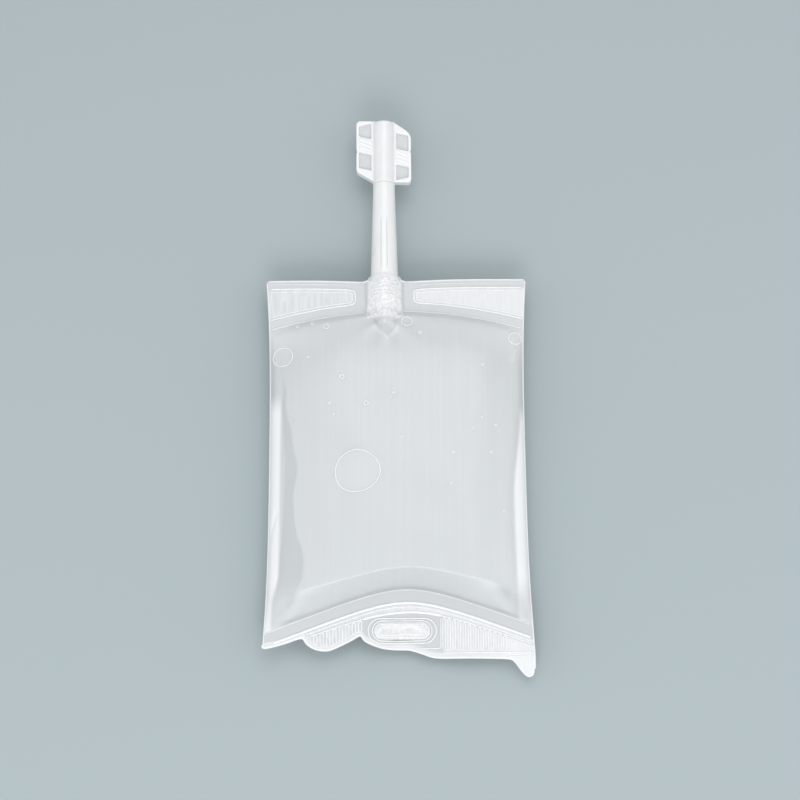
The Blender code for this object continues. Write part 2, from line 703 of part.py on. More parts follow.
def build_film():
    film = pillow("bag_film", 0.0, parts, film_material)
    cavity = pillow("film_cavity", FILM_WALL, cutters)
    seat = boat("port_seat", GAP, PORT_FOOT_Y - GAP, EDGE_Y + FILLED_DEPTH, False, cutters)
    slot = prism("hanger_slot", stadium(SLOT_SHIFT, SLOT_Y, SLOT_LENGTH, SLOT_WIDTH),
                 -FILLED_DEPTH, 2 * FILLED_DEPTH)
    add_boolean(film, flange_bars(film), "UNION")
    add_boolean(film, cavity, "DIFFERENCE")
    add_boolean(film, seat, "DIFFERENCE")
    add_boolean(film, slot, "DIFFERENCE")
    add_boolean(film, lower_trim(), "DIFFERENCE")
    return film


def build_port():
    """One moulding: the boat-shaped foot, the tapering tube and its membrane."""
    base = PORT_BASE_DIAMETER / 2
    neck = PORT_NECK_DIAMETER / 2
    bore = PORT_BORE / 2
    profile = (
        (0.0, PORT_REACH - MEMBRANE_DEPTH),
        (bore, PORT_REACH - MEMBRANE_DEPTH),
        (bore, PORT_REACH),
        (neck - PORT_EDGE, PORT_REACH),
        (neck, PORT_REACH - PORT_EDGE),
        (neck, PORT_REACH - PORT_LIP),
        (base, BOAT_STAND_OUT + PORT_COLLAR),
        (base, -PORT_INSERTION / 2),
        (bore, -PORT_INSERTION / 2),
        (bore, PORT_REACH - MEMBRANE_DEPTH - MEMBRANE_THICKNESS),
        (0.0, PORT_REACH - MEMBRANE_DEPTH - MEMBRANE_THICKNESS),
    )
    port = turned("port", profile, parts, port_material)
    port.location = (PORT_SHIFT, EDGE_Y, PORT_AXIS_HEIGHT)
    foot = boat("port_foot", 0.0, PORT_FOOT_Y, EDGE_Y + BOAT_STAND_OUT, True, cutters)
    bore_cut = turned("port_bore", (
        (0.0, PORT_REACH - MEMBRANE_DEPTH - MEMBRANE_THICKNESS),
        (bore, PORT_REACH - MEMBRANE_DEPTH - MEMBRANE_THICKNESS),
        (bore, -2 * PORT_INSERTION),
        (0.0, -2 * PORT_INSERTION),
    ), cutters)
    bore_cut.location = port.location
    add_boolean(port, foot, "UNION")
    add_boolean(port, bore_cut, "DIFFERENCE")
    shade_round(port)
    return port


def build_solution():
    """The liquid, clear of the film all round, with its bubbles under the upper film."""
    inset = FILM_WALL + GAP
    liquid = pillow("solution", inset, parts, liquid_material)
    room = boat("foot_room", 2 * GAP, PORT_FOOT_Y - 2 * GAP, EDGE_Y, False, cutters)
    add_boolean(liquid, room, "DIFFERENCE")
    for number, (x, from_edge, radius) in enumerate(BUBBLES):
        y = EDGE_Y - from_edge
        across = x / (half_width(y) - SIDE_INSET_RATIO * inset)
        upper = sheet_heights(x, y, across, inset)[0]
        bpy.ops.mesh.primitive_uv_sphere_add(
            segments=14, ring_count=6, radius=radius, location=(x, y, upper))
        bubble = bpy.context.object
        bubble.name = f"bubble_{number + 1}"
        bubble.scale = (1.0, 1.0, BUBBLE_DEPTH)
        for old in list(bubble.users_collection):
            old.objects.unlink(bubble)
        cutters.objects.link(bubble)
        bubble.hide_render = True
        bubble.display_type = "WIRE"
        add_boolean(liquid, bubble, "DIFFERENCE")
    return liquid


def wing_windows():
    """Recesses in both faces of both wings, turned half round from wing to wing."""
    working = bmesh.new()
    outer = HEAD_WIDTH / 2 - WINDOW_RIM
    inner = COLUMN_DIAMETER / 2 + WINDOW_RIM / 2
    top = HEAD_LENGTH - WINDOW_RIM
    bar_top = HEAD_LENGTH / 2 + WINDOW_BAR
    bar_low = HEAD_LENGTH / 2 - WINDOW_TILT
    low = HEAD_SLOPE + WINDOW_FOOT
    windows = (
        ((-outer, top - WINDOW_TILT), (-inner, top), (-inner, bar_top - WINDOW_TILT), (-outer, bar_top)),
        ((-outer, bar_low + WINDOW_TILT), (-inner, bar_low), (-inner, low - WINDOW_TILT), (-outer, low)),
    )
    for corners in windows:
        for turn in (1, -1):
            for face in (1, -1):
                rings = []
                for height in (WEB_THICKNESS / 2, HEAD_THICKNESS):
                    rings.append([(turn * x, HEAD_LENGTH / 2 + turn * (y - HEAD_LENGTH / 2), face * height)
                                  for x, y in corners])
                loft_rings(working, rings)
    return add_object("wing_windows", finish_mesh("wing_windows", working), cutters)


def bar_ridges():
    """Slanting ridges on both faces of the bars between the windows."""
    working = bmesh.new()
    outer = -HEAD_WIDTH / 2 + 1.5 * WINDOW_RIM
    inner = -COLUMN_DIAMETER / 2 - WINDOW_RIM / 2
    fall = BAR_RIDGE_SLANT * (inner - outer) / 2
    half = BAR_RIDGE_WIDTH / 2
    bar_middle = (WINDOW_BAR - WINDOW_TILT) / 2
    for number in range(BAR_RIDGES):
        along = bar_middle + (number - (BAR_RIDGES - 1) / 2) * BAR_RIDGE_PITCH
        corners = ((outer, along + fall + half), (outer, along + fall - half),
                   (inner, along - fall - half), (inner, along - fall + half))
        for turn in (1, -1):
            for face in (1, -1):
                heights = (HEAD_THICKNESS / 2 - BAR_RIDGE_HEIGHT, HEAD_THICKNESS / 2 + BAR_RIDGE_HEIGHT)
                rings = [[(turn * x, HEAD_LENGTH / 2 + turn * y, face * height) for x, y in corners]
                         for height in heights]
                loft_rings(working, rings)
    return add_object("bar_ridges", finish_mesh("bar_ridges", working), cutters)


def build_cap():
    """One moulding: two offset wings, the round column and the plug."""
    half = HEAD_WIDTH / 2
    middle = HEAD_LENGTH / 2
    wing = (
        (-half, HEAD_LENGTH),
        (-half, middle + WING_NOTCH_LENGTH / 2),
        (-half + WING_NOTCH, middle),
        (-half, middle - WING_NOTCH_LENGTH / 2),
        (-half, HEAD_SLOPE),
        (-COLUMN_DIAMETER * WING_ROOT, GAP),
    )
    corners = list(wing) + [(-x, 2 * middle - y) for x, y in wing]
    radii = [WING_CORNER, 0.0, 0.0, 0.0, WING_CORNER, 0.0] * 2
    outline = round_outline(corners, radii)
    cap = prism("twist_off_cap", outline, -HEAD_THICKNESS / 2, HEAD_THICKNESS / 2, parts)
    cap.data.materials.append(cap_material)
    plug = PORT_BORE / 2 - PLUG_CLEARANCE
    column = COLUMN_DIAMETER / 2
    edge = 2 * HEAD_EDGE_RADIUS
    profile = [
        (0.0, HEAD_LENGTH),
        (column - edge, HEAD_LENGTH),
        (column, HEAD_LENGTH - edge),
        (column, 0.0),
        (plug, 0.0),
    ]
    for step in range(5):
        angle = math.pi / 2 * step / 5
        profile.append((plug * math.cos(angle), -PLUG_LENGTH + plug * (1 - math.sin(angle))))
    profile.append((0.0, -PLUG_LENGTH))
    core = turned("cap_core", profile, cutters)
    windows = wing_windows()
    ridges = bar_ridges()
    bevel = cap.modifiers.new("soft_edges", "BEVEL")
    bevel.width = HEAD_EDGE_RADIUS
    bevel.segments = 2
    bevel.limit_method = "ANGLE"
    bevel.angle_limit = math.radians(50)
    add_boolean(cap, core, "UNION")
    add_boolean(cap, windows, "DIFFERENCE")
    add_boolean(cap, ridges, "UNION")
    for item in (cap, core, windows, ridges):
        item.location = (PORT_SHIFT, HEAD_BASE_Y, PORT_AXIS_HEIGHT)
    shade_round(cap)
    return cap


build_film()
build_solution()
build_port()
build_cap()
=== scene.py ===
import math

import bpy
import numpy as np
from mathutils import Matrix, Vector
from mathutils.bvhtree import BVHTree


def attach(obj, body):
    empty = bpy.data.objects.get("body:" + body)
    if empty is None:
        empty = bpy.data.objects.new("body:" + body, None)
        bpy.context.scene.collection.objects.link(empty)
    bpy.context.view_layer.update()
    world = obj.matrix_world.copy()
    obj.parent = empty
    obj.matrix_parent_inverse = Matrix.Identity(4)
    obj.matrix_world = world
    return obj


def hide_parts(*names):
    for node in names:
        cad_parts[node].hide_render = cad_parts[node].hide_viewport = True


# Looks for a small fluid bag lying on its back: film, liquid, port and twist-off cap.
# +Y runs from the hanger slot to the cap, +Z is up. Metres throughout.

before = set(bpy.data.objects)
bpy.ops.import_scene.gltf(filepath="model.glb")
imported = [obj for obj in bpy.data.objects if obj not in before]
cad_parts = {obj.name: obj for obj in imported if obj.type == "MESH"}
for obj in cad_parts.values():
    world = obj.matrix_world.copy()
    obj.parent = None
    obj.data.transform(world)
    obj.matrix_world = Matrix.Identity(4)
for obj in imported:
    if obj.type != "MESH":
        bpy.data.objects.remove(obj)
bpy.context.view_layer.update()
print("frame loaded")


# Shader helpers

class Value:  # a socket that takes part in Python expressions
    def __init__(self, finish, socket):
        self.finish = finish
        self.socket = socket

    def __add__(self, other):
        return self.finish.maths("ADD", self, other)

    __radd__ = __add__

    def __sub__(self, other):
        return self.finish.maths("SUBTRACT", self, other)

    def __rsub__(self, other):
        return self.finish.maths("SUBTRACT", other, self)

    def __mul__(self, other):
        return self.finish.maths("MULTIPLY", self, other)

    __rmul__ = __mul__


class Finish:  # one material and its nodes
    def __init__(self, name):
        self.material = bpy.data.materials.new(name)
        self.material.use_nodes = True
        self.tree = self.material.node_tree
        self.shader = self.tree.nodes["Principled BSDF"]

    def node(self, kind, settings=None, inputs=None, output=0):
        made = self.tree.nodes.new(kind)
        for key, value in (settings or {}).items():
            setattr(made, key, value)
        for key, value in (inputs or {}).items():
            self.feed(made.inputs[key], value)
        return Value(self, made.outputs[output])

    def feed(self, socket, value):
        if isinstance(value, Value):
            self.tree.links.new(value.socket, socket)
        elif hasattr(value, "__len__") and len(value) == 3 and socket.type == "RGBA":
            socket.default_value = (*value, 1.0)
        else:
            socket.default_value = value

    def maths(self, operation, *terms):
        return self.node("ShaderNodeMath", {"operation": operation}, dict(enumerate(terms)))

    def blend(self, share, first, second):  # colours, from first at 0 to second at 1
        return self.node("ShaderNodeMix", {"data_type": "RGBA"}, {0: share, 6: first, 7: second}, 2)

    def noise(self, scale, stretch=(1, 1, 1), detail=3.0):
        coordinates = self.node("ShaderNodeTexCoord", output=3)
        place = self.node("ShaderNodeMapping", None, {0: coordinates, 3: stretch})
        return self.node("ShaderNodeTexNoise", None, {"Vector": place, "Scale": scale, "Detail": detail})

    def zone(self, name):  # a mesh attribute between 0 and 1
        return self.node("ShaderNodeAttribute", {"attribute_name": name}, output=2)

    def band(self, value, low, high):  # 0 below low, 1 above high, smooth between
        return self.node("ShaderNodeMapRange", {"interpolation_type": "SMOOTHSTEP"}, {
            "Value": value, "From Min": low, "From Max": high})

    def bump(self, height):    # height in metres
        return self.node("ShaderNodeBump", None, {"Height": height, "Distance": 1.0})

    def set(self, **values):
        for key, value in values.items():
            self.feed(self.shader.inputs[key.replace("_", " ")], value)


# Mesh helpers

def addMesh(name, points, faces, finish=None, edges=()):
    mesh = bpy.data.meshes.new(name)
    mesh.from_pydata([tuple(point) for point in points], edges, [tuple(face) for face in faces])
    piece = bpy.data.objects.new(name, mesh)
    bpy.context.scene.collection.objects.link(piece)
    if finish:
        mesh.materials.append(finish.material)
    mesh.shade_smooth()
    return piece


def vertexPlaces(piece):
    places = np.zeros(len(piece.data.vertices) * 3)
    piece.data.vertices.foreach_get("co", places)
    return places.reshape(-1, 3)


def moveVertices(piece, places):
    piece.data.vertices.foreach_set("co", places.ravel())
    piece.data.update()


def setZone(piece, name, values):
    attribute = piece.data.attributes.new(name, "FLOAT", "POINT")
    attribute.data.foreach_set("value", np.asarray(values, np.float32))


def only(piece):               # makes a piece the one that operators work on
    bpy.ops.object.select_all(action="DESELECT")
    piece.select_set(True)
    bpy.context.view_layer.objects.active = piece


def editAll(piece, operator, **values):
    # runs one edit-mode operator on a whole piece, then turns its faces outwards
    only(piece)
    bpy.ops.object.mode_set(mode="EDIT")
    bpy.ops.mesh.select_all(action="SELECT")
    operator(**values)
    bpy.ops.mesh.select_all(action="SELECT")
    bpy.ops.mesh.remove_doubles(threshold=0.000002)
    bpy.ops.mesh.normals_make_consistent(inside=False)
    bpy.ops.object.mode_set(mode="OBJECT")
    return piece


def turned(name, profile, steps=72):
    # a profile of radius and place along, spun about the port's axis
    edges = [(k, k + 1) for k in range(len(profile) - 1)]
    line = addMesh(name, [(radius, along, 0.0) for radius, along in profile], [], edges=edges)
    return editAll(line, bpy.ops.mesh.spin, steps=steps, angle=2 * math.pi, center=(0, 0, 0), axis=(0, 1, 0))


def slab(name, outline, low, high):
    # an outline in the flat, extruded between two heights
    flat = addMesh(name, [(x, y, low) for x, y in outline], [range(len(outline))])
    return editAll(flat, bpy.ops.mesh.extrude_region_move, TRANSFORM_OT_translate={"value": (0, 0, high - low)})


def applied(piece, kind, **values):
    made = piece.modifiers.new(kind.lower(), kind)
    for key, value in values.items():
        setattr(made, key, value)
    only(piece)
    bpy.ops.object.modifier_apply(modifier=made.name)


def combine(piece, other, operation):
    applied(piece, "BOOLEAN", operation=operation, object=other, solver="EXACT")
    bpy.data.objects.remove(other)


# Film tube: its sizes, and the port that it is welded round

bag = {
    "flatWidth": 0.0890,       # flattened tube at its end seals
    "waist": 0.0018,           # how far each side is drawn in at the filled middle
    "length": 0.1288,
    "depth": 0.0186,
    "seamHeight": 0.0088,
    "wall": 0.0004,
    "halfSeal": 0.00045,
    "edgeY": 0.03805,          # port edge
    "edgeDip": 0.0011,
    "edgeDipReach": 0.0160,
    "sealDepth": 0.0114,       # port edge to the inner seal line
    "sealSag": 0.0062,
    "sealRise": 0.0004,
    "hangerDepth": 0.0218,
    "hangerSag": 0.0130,
    "hangerShift": 0.0030,
    "hangerCrown": 0.0140,
    "hangerBand": 0.0042,
    "droop": 0.0056,
    "droopCurve": 1.15,
    "wave": 0.0007,
    "ripples": ((9.0, 0.8, 1.0), (17.0, 2.0, 0.6)),
    "topShoulder": 0.0270,
    "lowShoulder": 0.0190,
    "endFullness": 2.2,
    "endRoundness": 0.72,
    "crease": 0.0066,          # hanger seal to the crease under the filled belly
    "creaseSpread": 0.0046,
    "creaseHeight": 0.86,
    "creaseCurve": 0.80,
    "sideFullness": 2.7,
    "sideRoundness": 2.1,
    "backFullness": 1.3,
    "insetRatio": 1.8,
    "cornerRounding": 1.6,
    "puckerHeight": 0.00025,
    "puckerReach": 0.0130,
    "puckers": 7,
    "foldDepth": 0.00045,
    "foldWidth": 0.0030,
    "foldLength": 0.0260,
    "foldStart": 0.0035,
    "foldLean": 0.22,
    "tabReach": 0.0060,
    "tabWidth": 0.0060,
    "tabDroop": 0.0012,
    "edgeWave": (              # share of the half width, rise above the lower edge
        (-1.005, 0.0042), (-0.985, 0.0034), (-0.852, 0.0048), (-0.717, 0.0067), (-0.679, 0.0049),
        (-0.636, 0.0036), (-0.589, 0.0029), (-0.508, 0.0029), (-0.360, 0.0058), (-0.283, 0.0075),
        (-0.243, 0.0056), (-0.139, 0.0037), (-0.040, 0.0031), (0.083, 0.0029), (0.180, 0.0016),
        (0.283, 0.0003), (0.526, 0.0001), (0.700, 0.0000)),
    "spur": ((1.35, 0.05), (1.05, 0.20), (0.60, 0.78), (0.30, 1.00), (0.07, 0.86), (0.0, 0.55), (-1.0, 0.30)),
}
fit = {
    "shift": -0.0040,          # port axis across, and its height
    "axisHeight": 0.0100,
    "baseRadius": 0.0047,
    "neckRadius": 0.00385,
    "boreRadius": 0.0031,
    "reach": 0.0351,           # port edge of the film to the tube's free end
    "lip": 0.0036,
    "membraneDepth": 0.0205,
    "membrane": 0.0008,
    "insertion": 0.0144,
    "standOut": 0.0009,
    "collar": 0.0012,
    "flange": 0.0005,
    "gussetWidth": 0.0042,
    "gussetHeight": 0.0034,
    "gussetFoot": 0.0002,
    "boatHalf": 0.0056,
    "boatRise": 0.0005,
    "boatPoint": 1.8,
    "boatBluntness": 0.12,
    "boatRibs": 5,
    "boatRibDepth": 0.0003,
    "gap": 0.0003,
    "skirt": 0.0008,
    "tentReach": 0.0085,
    "tentStart": 0.0035,
    "fluteAngles": (-14.0, 15.0),
    "fluteWidth": 2.6,         # degrees
    "fluteDepth": 0.00010,
    "liftReach": 1.2,
    "crown": 1.7,
    "flare": 1.25,
}
bag["lowY"] = bag["edgeY"] - bag["length"]
bag["half"] = bag["flatWidth"] / 2
fit["footY"] = bag["edgeY"] - fit["insertion"]
fit["saddle"] = fit["boatHalf"] + fit["gap"] + bag["wall"] + fit["skirt"]


def smoothStep(value):
    value = np.clip(value, 0.0, 1.0)
    return value * value * (3 - 2 * value)


def bell(distance, reach):
    return np.exp(-(distance / reach) ** 2)


def topEdge(x):
    return bag["edgeY"] - bag["edgeDip"] * bell(x - fit["shift"], bag["edgeDipReach"])


def topSeal(x):
    return bag["edgeY"] - bag["sealDepth"] - bag["sealSag"] * (x / bag["half"]) ** 2


def hangerSeal(x):
    across = np.hypot(1, (x - bag["hangerShift"]) / bag["hangerCrown"]) - 1
    full = math.hypot(1, bag["half"] / bag["hangerCrown"]) - 1
    return bag["lowY"] + bag["hangerDepth"] - bag["hangerSag"] * across / full


def hangerArc(x):
    return hangerSeal(x) - bag["hangerBand"]


def creaseRise(x):
    return bag["crease"] + bag["creaseSpread"] * (x / bag["half"]) ** 2


def halfWidth(y):
    along = 2 * (y - bag["lowY"]) / bag["length"] - 1
    return bag["half"] - bag["waist"] * np.maximum(1 - np.abs(along) ** 3, 0.0)


def smoothThrough(points, steps):
    points = np.array(points, float)
    ends = np.vstack((points[:1], points, points[-1:]))
    line = []
    for a, b, c, d in zip(ends, ends[1:], ends[2:], ends[3:]):
        for step in range(steps):
            t = step / steps
            line.append(0.5 * (2 * b + (c - a) * t + (2 * a - 5 * b + 4 * c - d) * t ** 2
                               + (3 * b - a - 3 * c + d) * t ** 3))
    line.append(points[-1])
    return np.array(line)


trim = [(share * bag["half"], bag["lowY"] + rise) for share, rise in bag["edgeWave"]]
trim += [(bag["half"] - inward * bag["tabWidth"], bag["lowY"] - fall * bag["tabReach"])
         for inward, fall in bag["spur"]]
trim = smoothThrough(trim, 4)


def lowerEdge(x):
    return np.interp(x, trim[:, 0], trim[:, 1])


def seamHeight(x, y):
    across = x / bag["half"]
    nearTop = smoothStep((y - topSeal(x) + bag["topShoulder"]) / bag["topShoulder"])
    lift = (fit["axisHeight"] - bag["seamHeight"]) * bell(x - fit["shift"], fit["liftReach"] * fit["saddle"])
    corners = bag["sealRise"] * (1 - 2 * across ** 2) * (1 - bell(x - fit["shift"], fit["saddle"]))
    height = bag["seamHeight"] + nearTop * (lift + corners)
    below = np.maximum(hangerSeal(x) - y, 0.0) / bag["hangerDepth"]
    ripple = sum(share * np.sin(across * rate + phase) for rate, phase, share in bag["ripples"])
    height = height - bag["droop"] * below ** bag["droopCurve"] - bag["wave"] * ripple * below
    spur = smoothStep((x - bag["half"] + 2 * bag["tabWidth"]) / bag["tabWidth"])
    return np.maximum(height - bag["tabDroop"] * spur * smoothStep(below), bag["halfSeal"])


def saddle(x, y, allowance):
    reach = np.minimum(np.abs(x - fit["shift"]) / fit["saddle"], 1.0)
    crown = fit["baseRadius"] + fit["boatRise"] + fit["gap"] + allowance
    under = smoothStep((y - fit["footY"] + fit["tentReach"]) / fit["tentReach"])
    return crown * (1 - reach ** fit["crown"]) ** fit["flare"] * under


def shoulder(distance, length):
    share = np.clip(distance / length, 0.0, 1.0)
    return (1 - (1 - share) ** bag["endFullness"]) ** bag["endRoundness"]


def hangerSlope(distance, toCrease):
    below = bag["creaseHeight"] * np.clip(distance / toCrease, 0.0, 1.0) ** bag["creaseCurve"]
    left = np.clip((distance - toCrease) / (bag["lowShoulder"] - toCrease), 0.0, 1.0)
    above = 1 - (1 - bag["creaseHeight"]) * (1 - left) ** 2
    return np.where(distance < toCrease, below, above)


def foldPattern(x, y):
    fromPort = np.hypot(x - fit["shift"], y - fit["footY"])
    angle = np.arctan2(x - fit["shift"], fit["footY"] - y)
    start = smoothStep(fromPort / bag["puckerReach"] * 3)
    relief = bag["puckerHeight"] * np.cos(angle * bag["puckers"]) * bell(fromPort, bag["puckerReach"]) * start
    for side in (-1, 1):
        corners = ((topSeal(bag["half"]), -1), (hangerSeal(side * bag["half"]), 1))
        for cornerY, direction in corners:
            inward = bag["half"] - bag["waist"] - side * x
            along = (y - cornerY) * direction
            offLine = inward - bag["foldLean"] * along - bag["foldStart"]
            fade = bell(along - bag["foldLength"] / 2, bag["foldLength"] / 2)
            relief = relief - bag["foldDepth"] * bell(offLine, bag["foldWidth"]) * fade
    return relief


reliefAndShade = {                       # small natural unevenness of the film, and where light and shade are painted on it
    "waves": (                 # height, waves across, waves along, phase
        (0.00005, 21.0, 13.0, 0.4), (0.00004, 37.0, 9.0, 2.1), (0.00004, 11.0, 31.0, 1.3)),
    "folds": (                 # height and width of each fold, then its line, millimetres
        (-0.30, 0.6, ((-40.2, -44.0), (-42.6, -53.4), (-44.4, -67.5))),
        (-0.25, 0.7, ((-41.5, 17.0), (-39.6, 6.2), (-37.4, -4.6), (-34.8, -12.9))),
        (0.35, 0.7, ((2.3, 24.5), (0.6, 20.5), (-1.9, 16.9))),
        (0.35, 0.7, ((-8.1, 22.5), (-6.2, 19.0), (-2.9, 15.9))),
        (0.25, 0.6, ((40.4, 12.2), (40.0, 10.0), (39.2, 8.0)))),
    "tuckHeight": 1 / 3000,    # a fold this high gets the full painted highlight
    "tuckShadow": (-6.6, 21.6),
    # painted shade over the lit lower corners: its middle, its line and its width
    "cornerMiddle": 0.0017,
    "cornerShadeLine": ((32.0, -69.5), (38.5, -78.0)),
    "cornerWidth": 0.0032,
    "creaseSoftness": 0.0030,
    "lowFade": (-0.064, 0.010),
    "slackShade": (                 # y, then both edges of the slack band from the left side, where the film is sunk and painted in shade, millimetres
        (-78.0, 1.2, 6.0), (-66.0, 3.1, 12.4), (-55.0, 3.9, 11.4), (-45.0, 4.4, 9.0), (-26.0, 4.8, 9.2),
        (-10.0, 3.7, 6.8), (5.0, 3.0, 4.4)),
    "slackSoftness": 0.0010,
    "slackDepth": 0.00030,
}


def inMetres(points):
    return [(x / 1000, y / 1000) for x, y in points]


def slackTroughAndShade(x, y):           # 1 on the slack band beside the left seam, 0 outside; it sinks the film there and masks its painted shade
    marks, near, far = np.array(reliefAndShade["slackShade"]).T / 1000
    inward = halfWidth(y) + x
    wander = 0.0004 * np.sin(y * 190.0 + 0.6) + 0.0003 * np.sin(y * 430.0 + 1.9)
    near = smoothStep((inward - np.interp(y, marks, near)) / reliefAndShade["slackSoftness"])
    far = smoothStep((np.interp(y, marks, far) + wander - inward) / reliefAndShade["slackSoftness"])
    return near * far * smoothStep((marks[-1] - y) / 0.010) * smoothStep((y - marks[0]) / 0.014)


def nearLine(x, y, line):      # distance to a line through a few points
    nearest = np.full(np.shape(x), 1.0)
    for (ax, ay), (bx, by) in zip(line, line[1:]):
        dx, dy = bx - ax, by - ay
        along = np.clip(((x - ax) * dx + (y - ay) * dy) / (dx * dx + dy * dy), 0.0, 1.0)
        nearest = np.minimum(nearest, np.hypot(x - ax - along * dx, y - ay - along * dy))
    return nearest


def foldLines(x, y, sign):     # the raised folds for sign 1, the sunk ones for -1
    pattern = 0.0
    for height, width, line in reliefAndShade["folds"]:
        if height * sign > 0:
            shape = bell(nearLine(x, y, smoothThrough(inMetres(line), 4)), width / 1000)
            pattern = np.maximum(pattern, shape * abs(height) / 1000)
    return pattern


def unevenness(x, y):
    relief = 0.0
    for height, across, along, phase in reliefAndShade["waves"]:
        relief = relief + height * np.sin(x / bag["half"] * across * 0.5 + y / bag["length"] * along + phase)
    return relief - reliefAndShade["slackDepth"] * slackTroughAndShade(x, y) + foldLines(x, y, 1) - foldLines(x, y, -1)


def endInset(x, inset):
    return bag["insetRatio"] * inset * (1 + bag["cornerRounding"] * np.abs(x / bag["half"]) ** 8)


def sheetHeights(x, y, across, inset):
    place = x * bag["half"] / halfWidth(y)
    seam = seamHeight(x, y)
    end = endInset(place, inset)
    ends = shoulder(topSeal(place) - end - y, bag["topShoulder"])
    ends = ends * hangerSlope(y - hangerSeal(place) - end, creaseRise(place))
    section = np.maximum(1 - np.abs(across) ** bag["sideFullness"], 0.0) ** (1 / bag["sideRoundness"])
    fullness = section * ends
    relief = (foldPattern(x, y) + unevenness(x, y)) * smoothStep(2.5 * fullness)
    rise = bag["halfSeal"] + (bag["depth"] - seam - bag["halfSeal"]) * fullness + relief - inset
    fall = bag["halfSeal"] + bag["backFullness"] * (seam - bag["halfSeal"]) * fullness - inset
    tent = saddle(x, y, bag["wall"])
    if inset > 0:
        belowFoot = fit["footY"] - fit["gap"] - bag["insetRatio"] * inset - y
        tent = (tent - inset) * smoothStep(belowFoot / fit["tentStart"])
    thinnest = np.maximum(max(bag["halfSeal"] - inset, bag["wall"] / 5), tent)
    upper = seam + np.maximum(rise, thinnest)
    lower = seam - np.maximum(fall, thinnest)
    return upper, np.maximum(lower, inset)


def stations(low, high, crowded, target):
    fine = np.linspace(low, high, 4001)
    density = np.full_like(fine, 1 / target)
    for place, spacing, reach in crowded:
        density += (1 / spacing - 1 / target) * np.exp(-((fine - place) / reach) ** 2)
    running = np.concatenate(([0.0], np.cumsum((density[1:] + density[:-1]) / 2 * np.diff(fine))))
    count = int(round(running[-1]))
    return np.interp(np.linspace(0, running[-1], count + 1), running, fine)


def rowLines(inset, flangeRows, creaseRows, bodyRows, topRows):
    # lines across the bag, from the lower edge to the port edge
    rows = []
    if inset == 0:
        rows += [lambda x, s=s: lowerEdge(x) * (1 - s) + hangerSeal(x) * s for s in flangeRows]
    rows += [lambda x, s=s: hangerSeal(x) + endInset(x, inset) + s * creaseRise(x) for s in creaseRows]
    for share in bodyRows:
        def line(x, share=share):
            low = hangerSeal(x) + endInset(x, inset) + creaseRise(x)
            return low * (1 - share) + (topSeal(x) - endInset(x, inset)) * share
        rows.append(line)
    if inset == 0:
        rows += [lambda x, s=s: topSeal(x) * (1 - s) + topEdge(x) * s for s in topRows]
    return rows


def pillow(name, inset, columns, rows, finish):
    # the closed skin of the film tube, or of the liquid at an inset
    sideInset = bag["insetRatio"] * inset
    upper, lower = [], []
    for row in rows:
        y = row(columns * (bag["half"] - sideInset))
        x = columns * (halfWidth(y) - sideInset)
        high, low = sheetHeights(x, y, columns, inset)
        upper.append(np.column_stack((x, y, high)))
        lower.append(np.column_stack((x, y, low)))
    across, along = len(columns), len(rows)
    count = across * along
    points = np.vstack(upper + lower)
    grid = np.arange(count).reshape(along, across)
    near, right = grid[:-1, :-1].ravel(), grid[:-1, 1:].ravel()
    far, farRight = grid[1:, :-1].ravel(), grid[1:, 1:].ravel()
    faces = np.vstack((
        np.column_stack((near, right, farRight, far)),
        np.column_stack((far, farRight, right, near)) + count,
    )).tolist()
    border = list(grid[0]) + list(grid[1:, -1]) + list(grid[-1, ::-1][1:]) + list(grid[::-1, 0][1:])
    for first, second in zip(border, border[1:]):
        faces.append((second, first, first + count, second + count))
    return addMesh(name, points, faces, finish), grid


# Film finish

filmLook = {
    "body": (0.715, 0.738, 0.752),
    "bodyLow": (0.745, 0.768, 0.782),
    "streak": (0.775, 0.795, 0.808),
    "slackShade": (0.615, 0.642, 0.658),
    # bright: the tone of the painted highlights, also used over the bubbles
    "bright": (0.865, 0.877, 0.884),
    "clear": (0.675, 0.702, 0.718),
    "panel": (0.745, 0.762, 0.772),
    "panelRough": (0.670, 0.690, 0.703),
    "panelRight": (0.830, 0.842, 0.850),
    "weld": (0.800, 0.815, 0.823),
    "weldBright": (0.950, 0.955, 0.958),
    "tuckShade": (0.560, 0.595, 0.615),
    "topSlopeLight": (0.880, 0.896, 0.904),
    "alphaBody": 0.66,
    "alphaClear": 0.80,
    "alphaPanel": 0.92,
    "roughness": 0.26,
    "striationScale": 900.0,
    "grainScale": 3200.0,
    "stippleScale": 1500.0,
    "crumpleScale": 1100.0,
    "striationHeight": 0.000010,
    "grainHeight": 0.000006,
    "stippleHeight": 0.00005,
    "crumpleHeight": 0.00020,
}


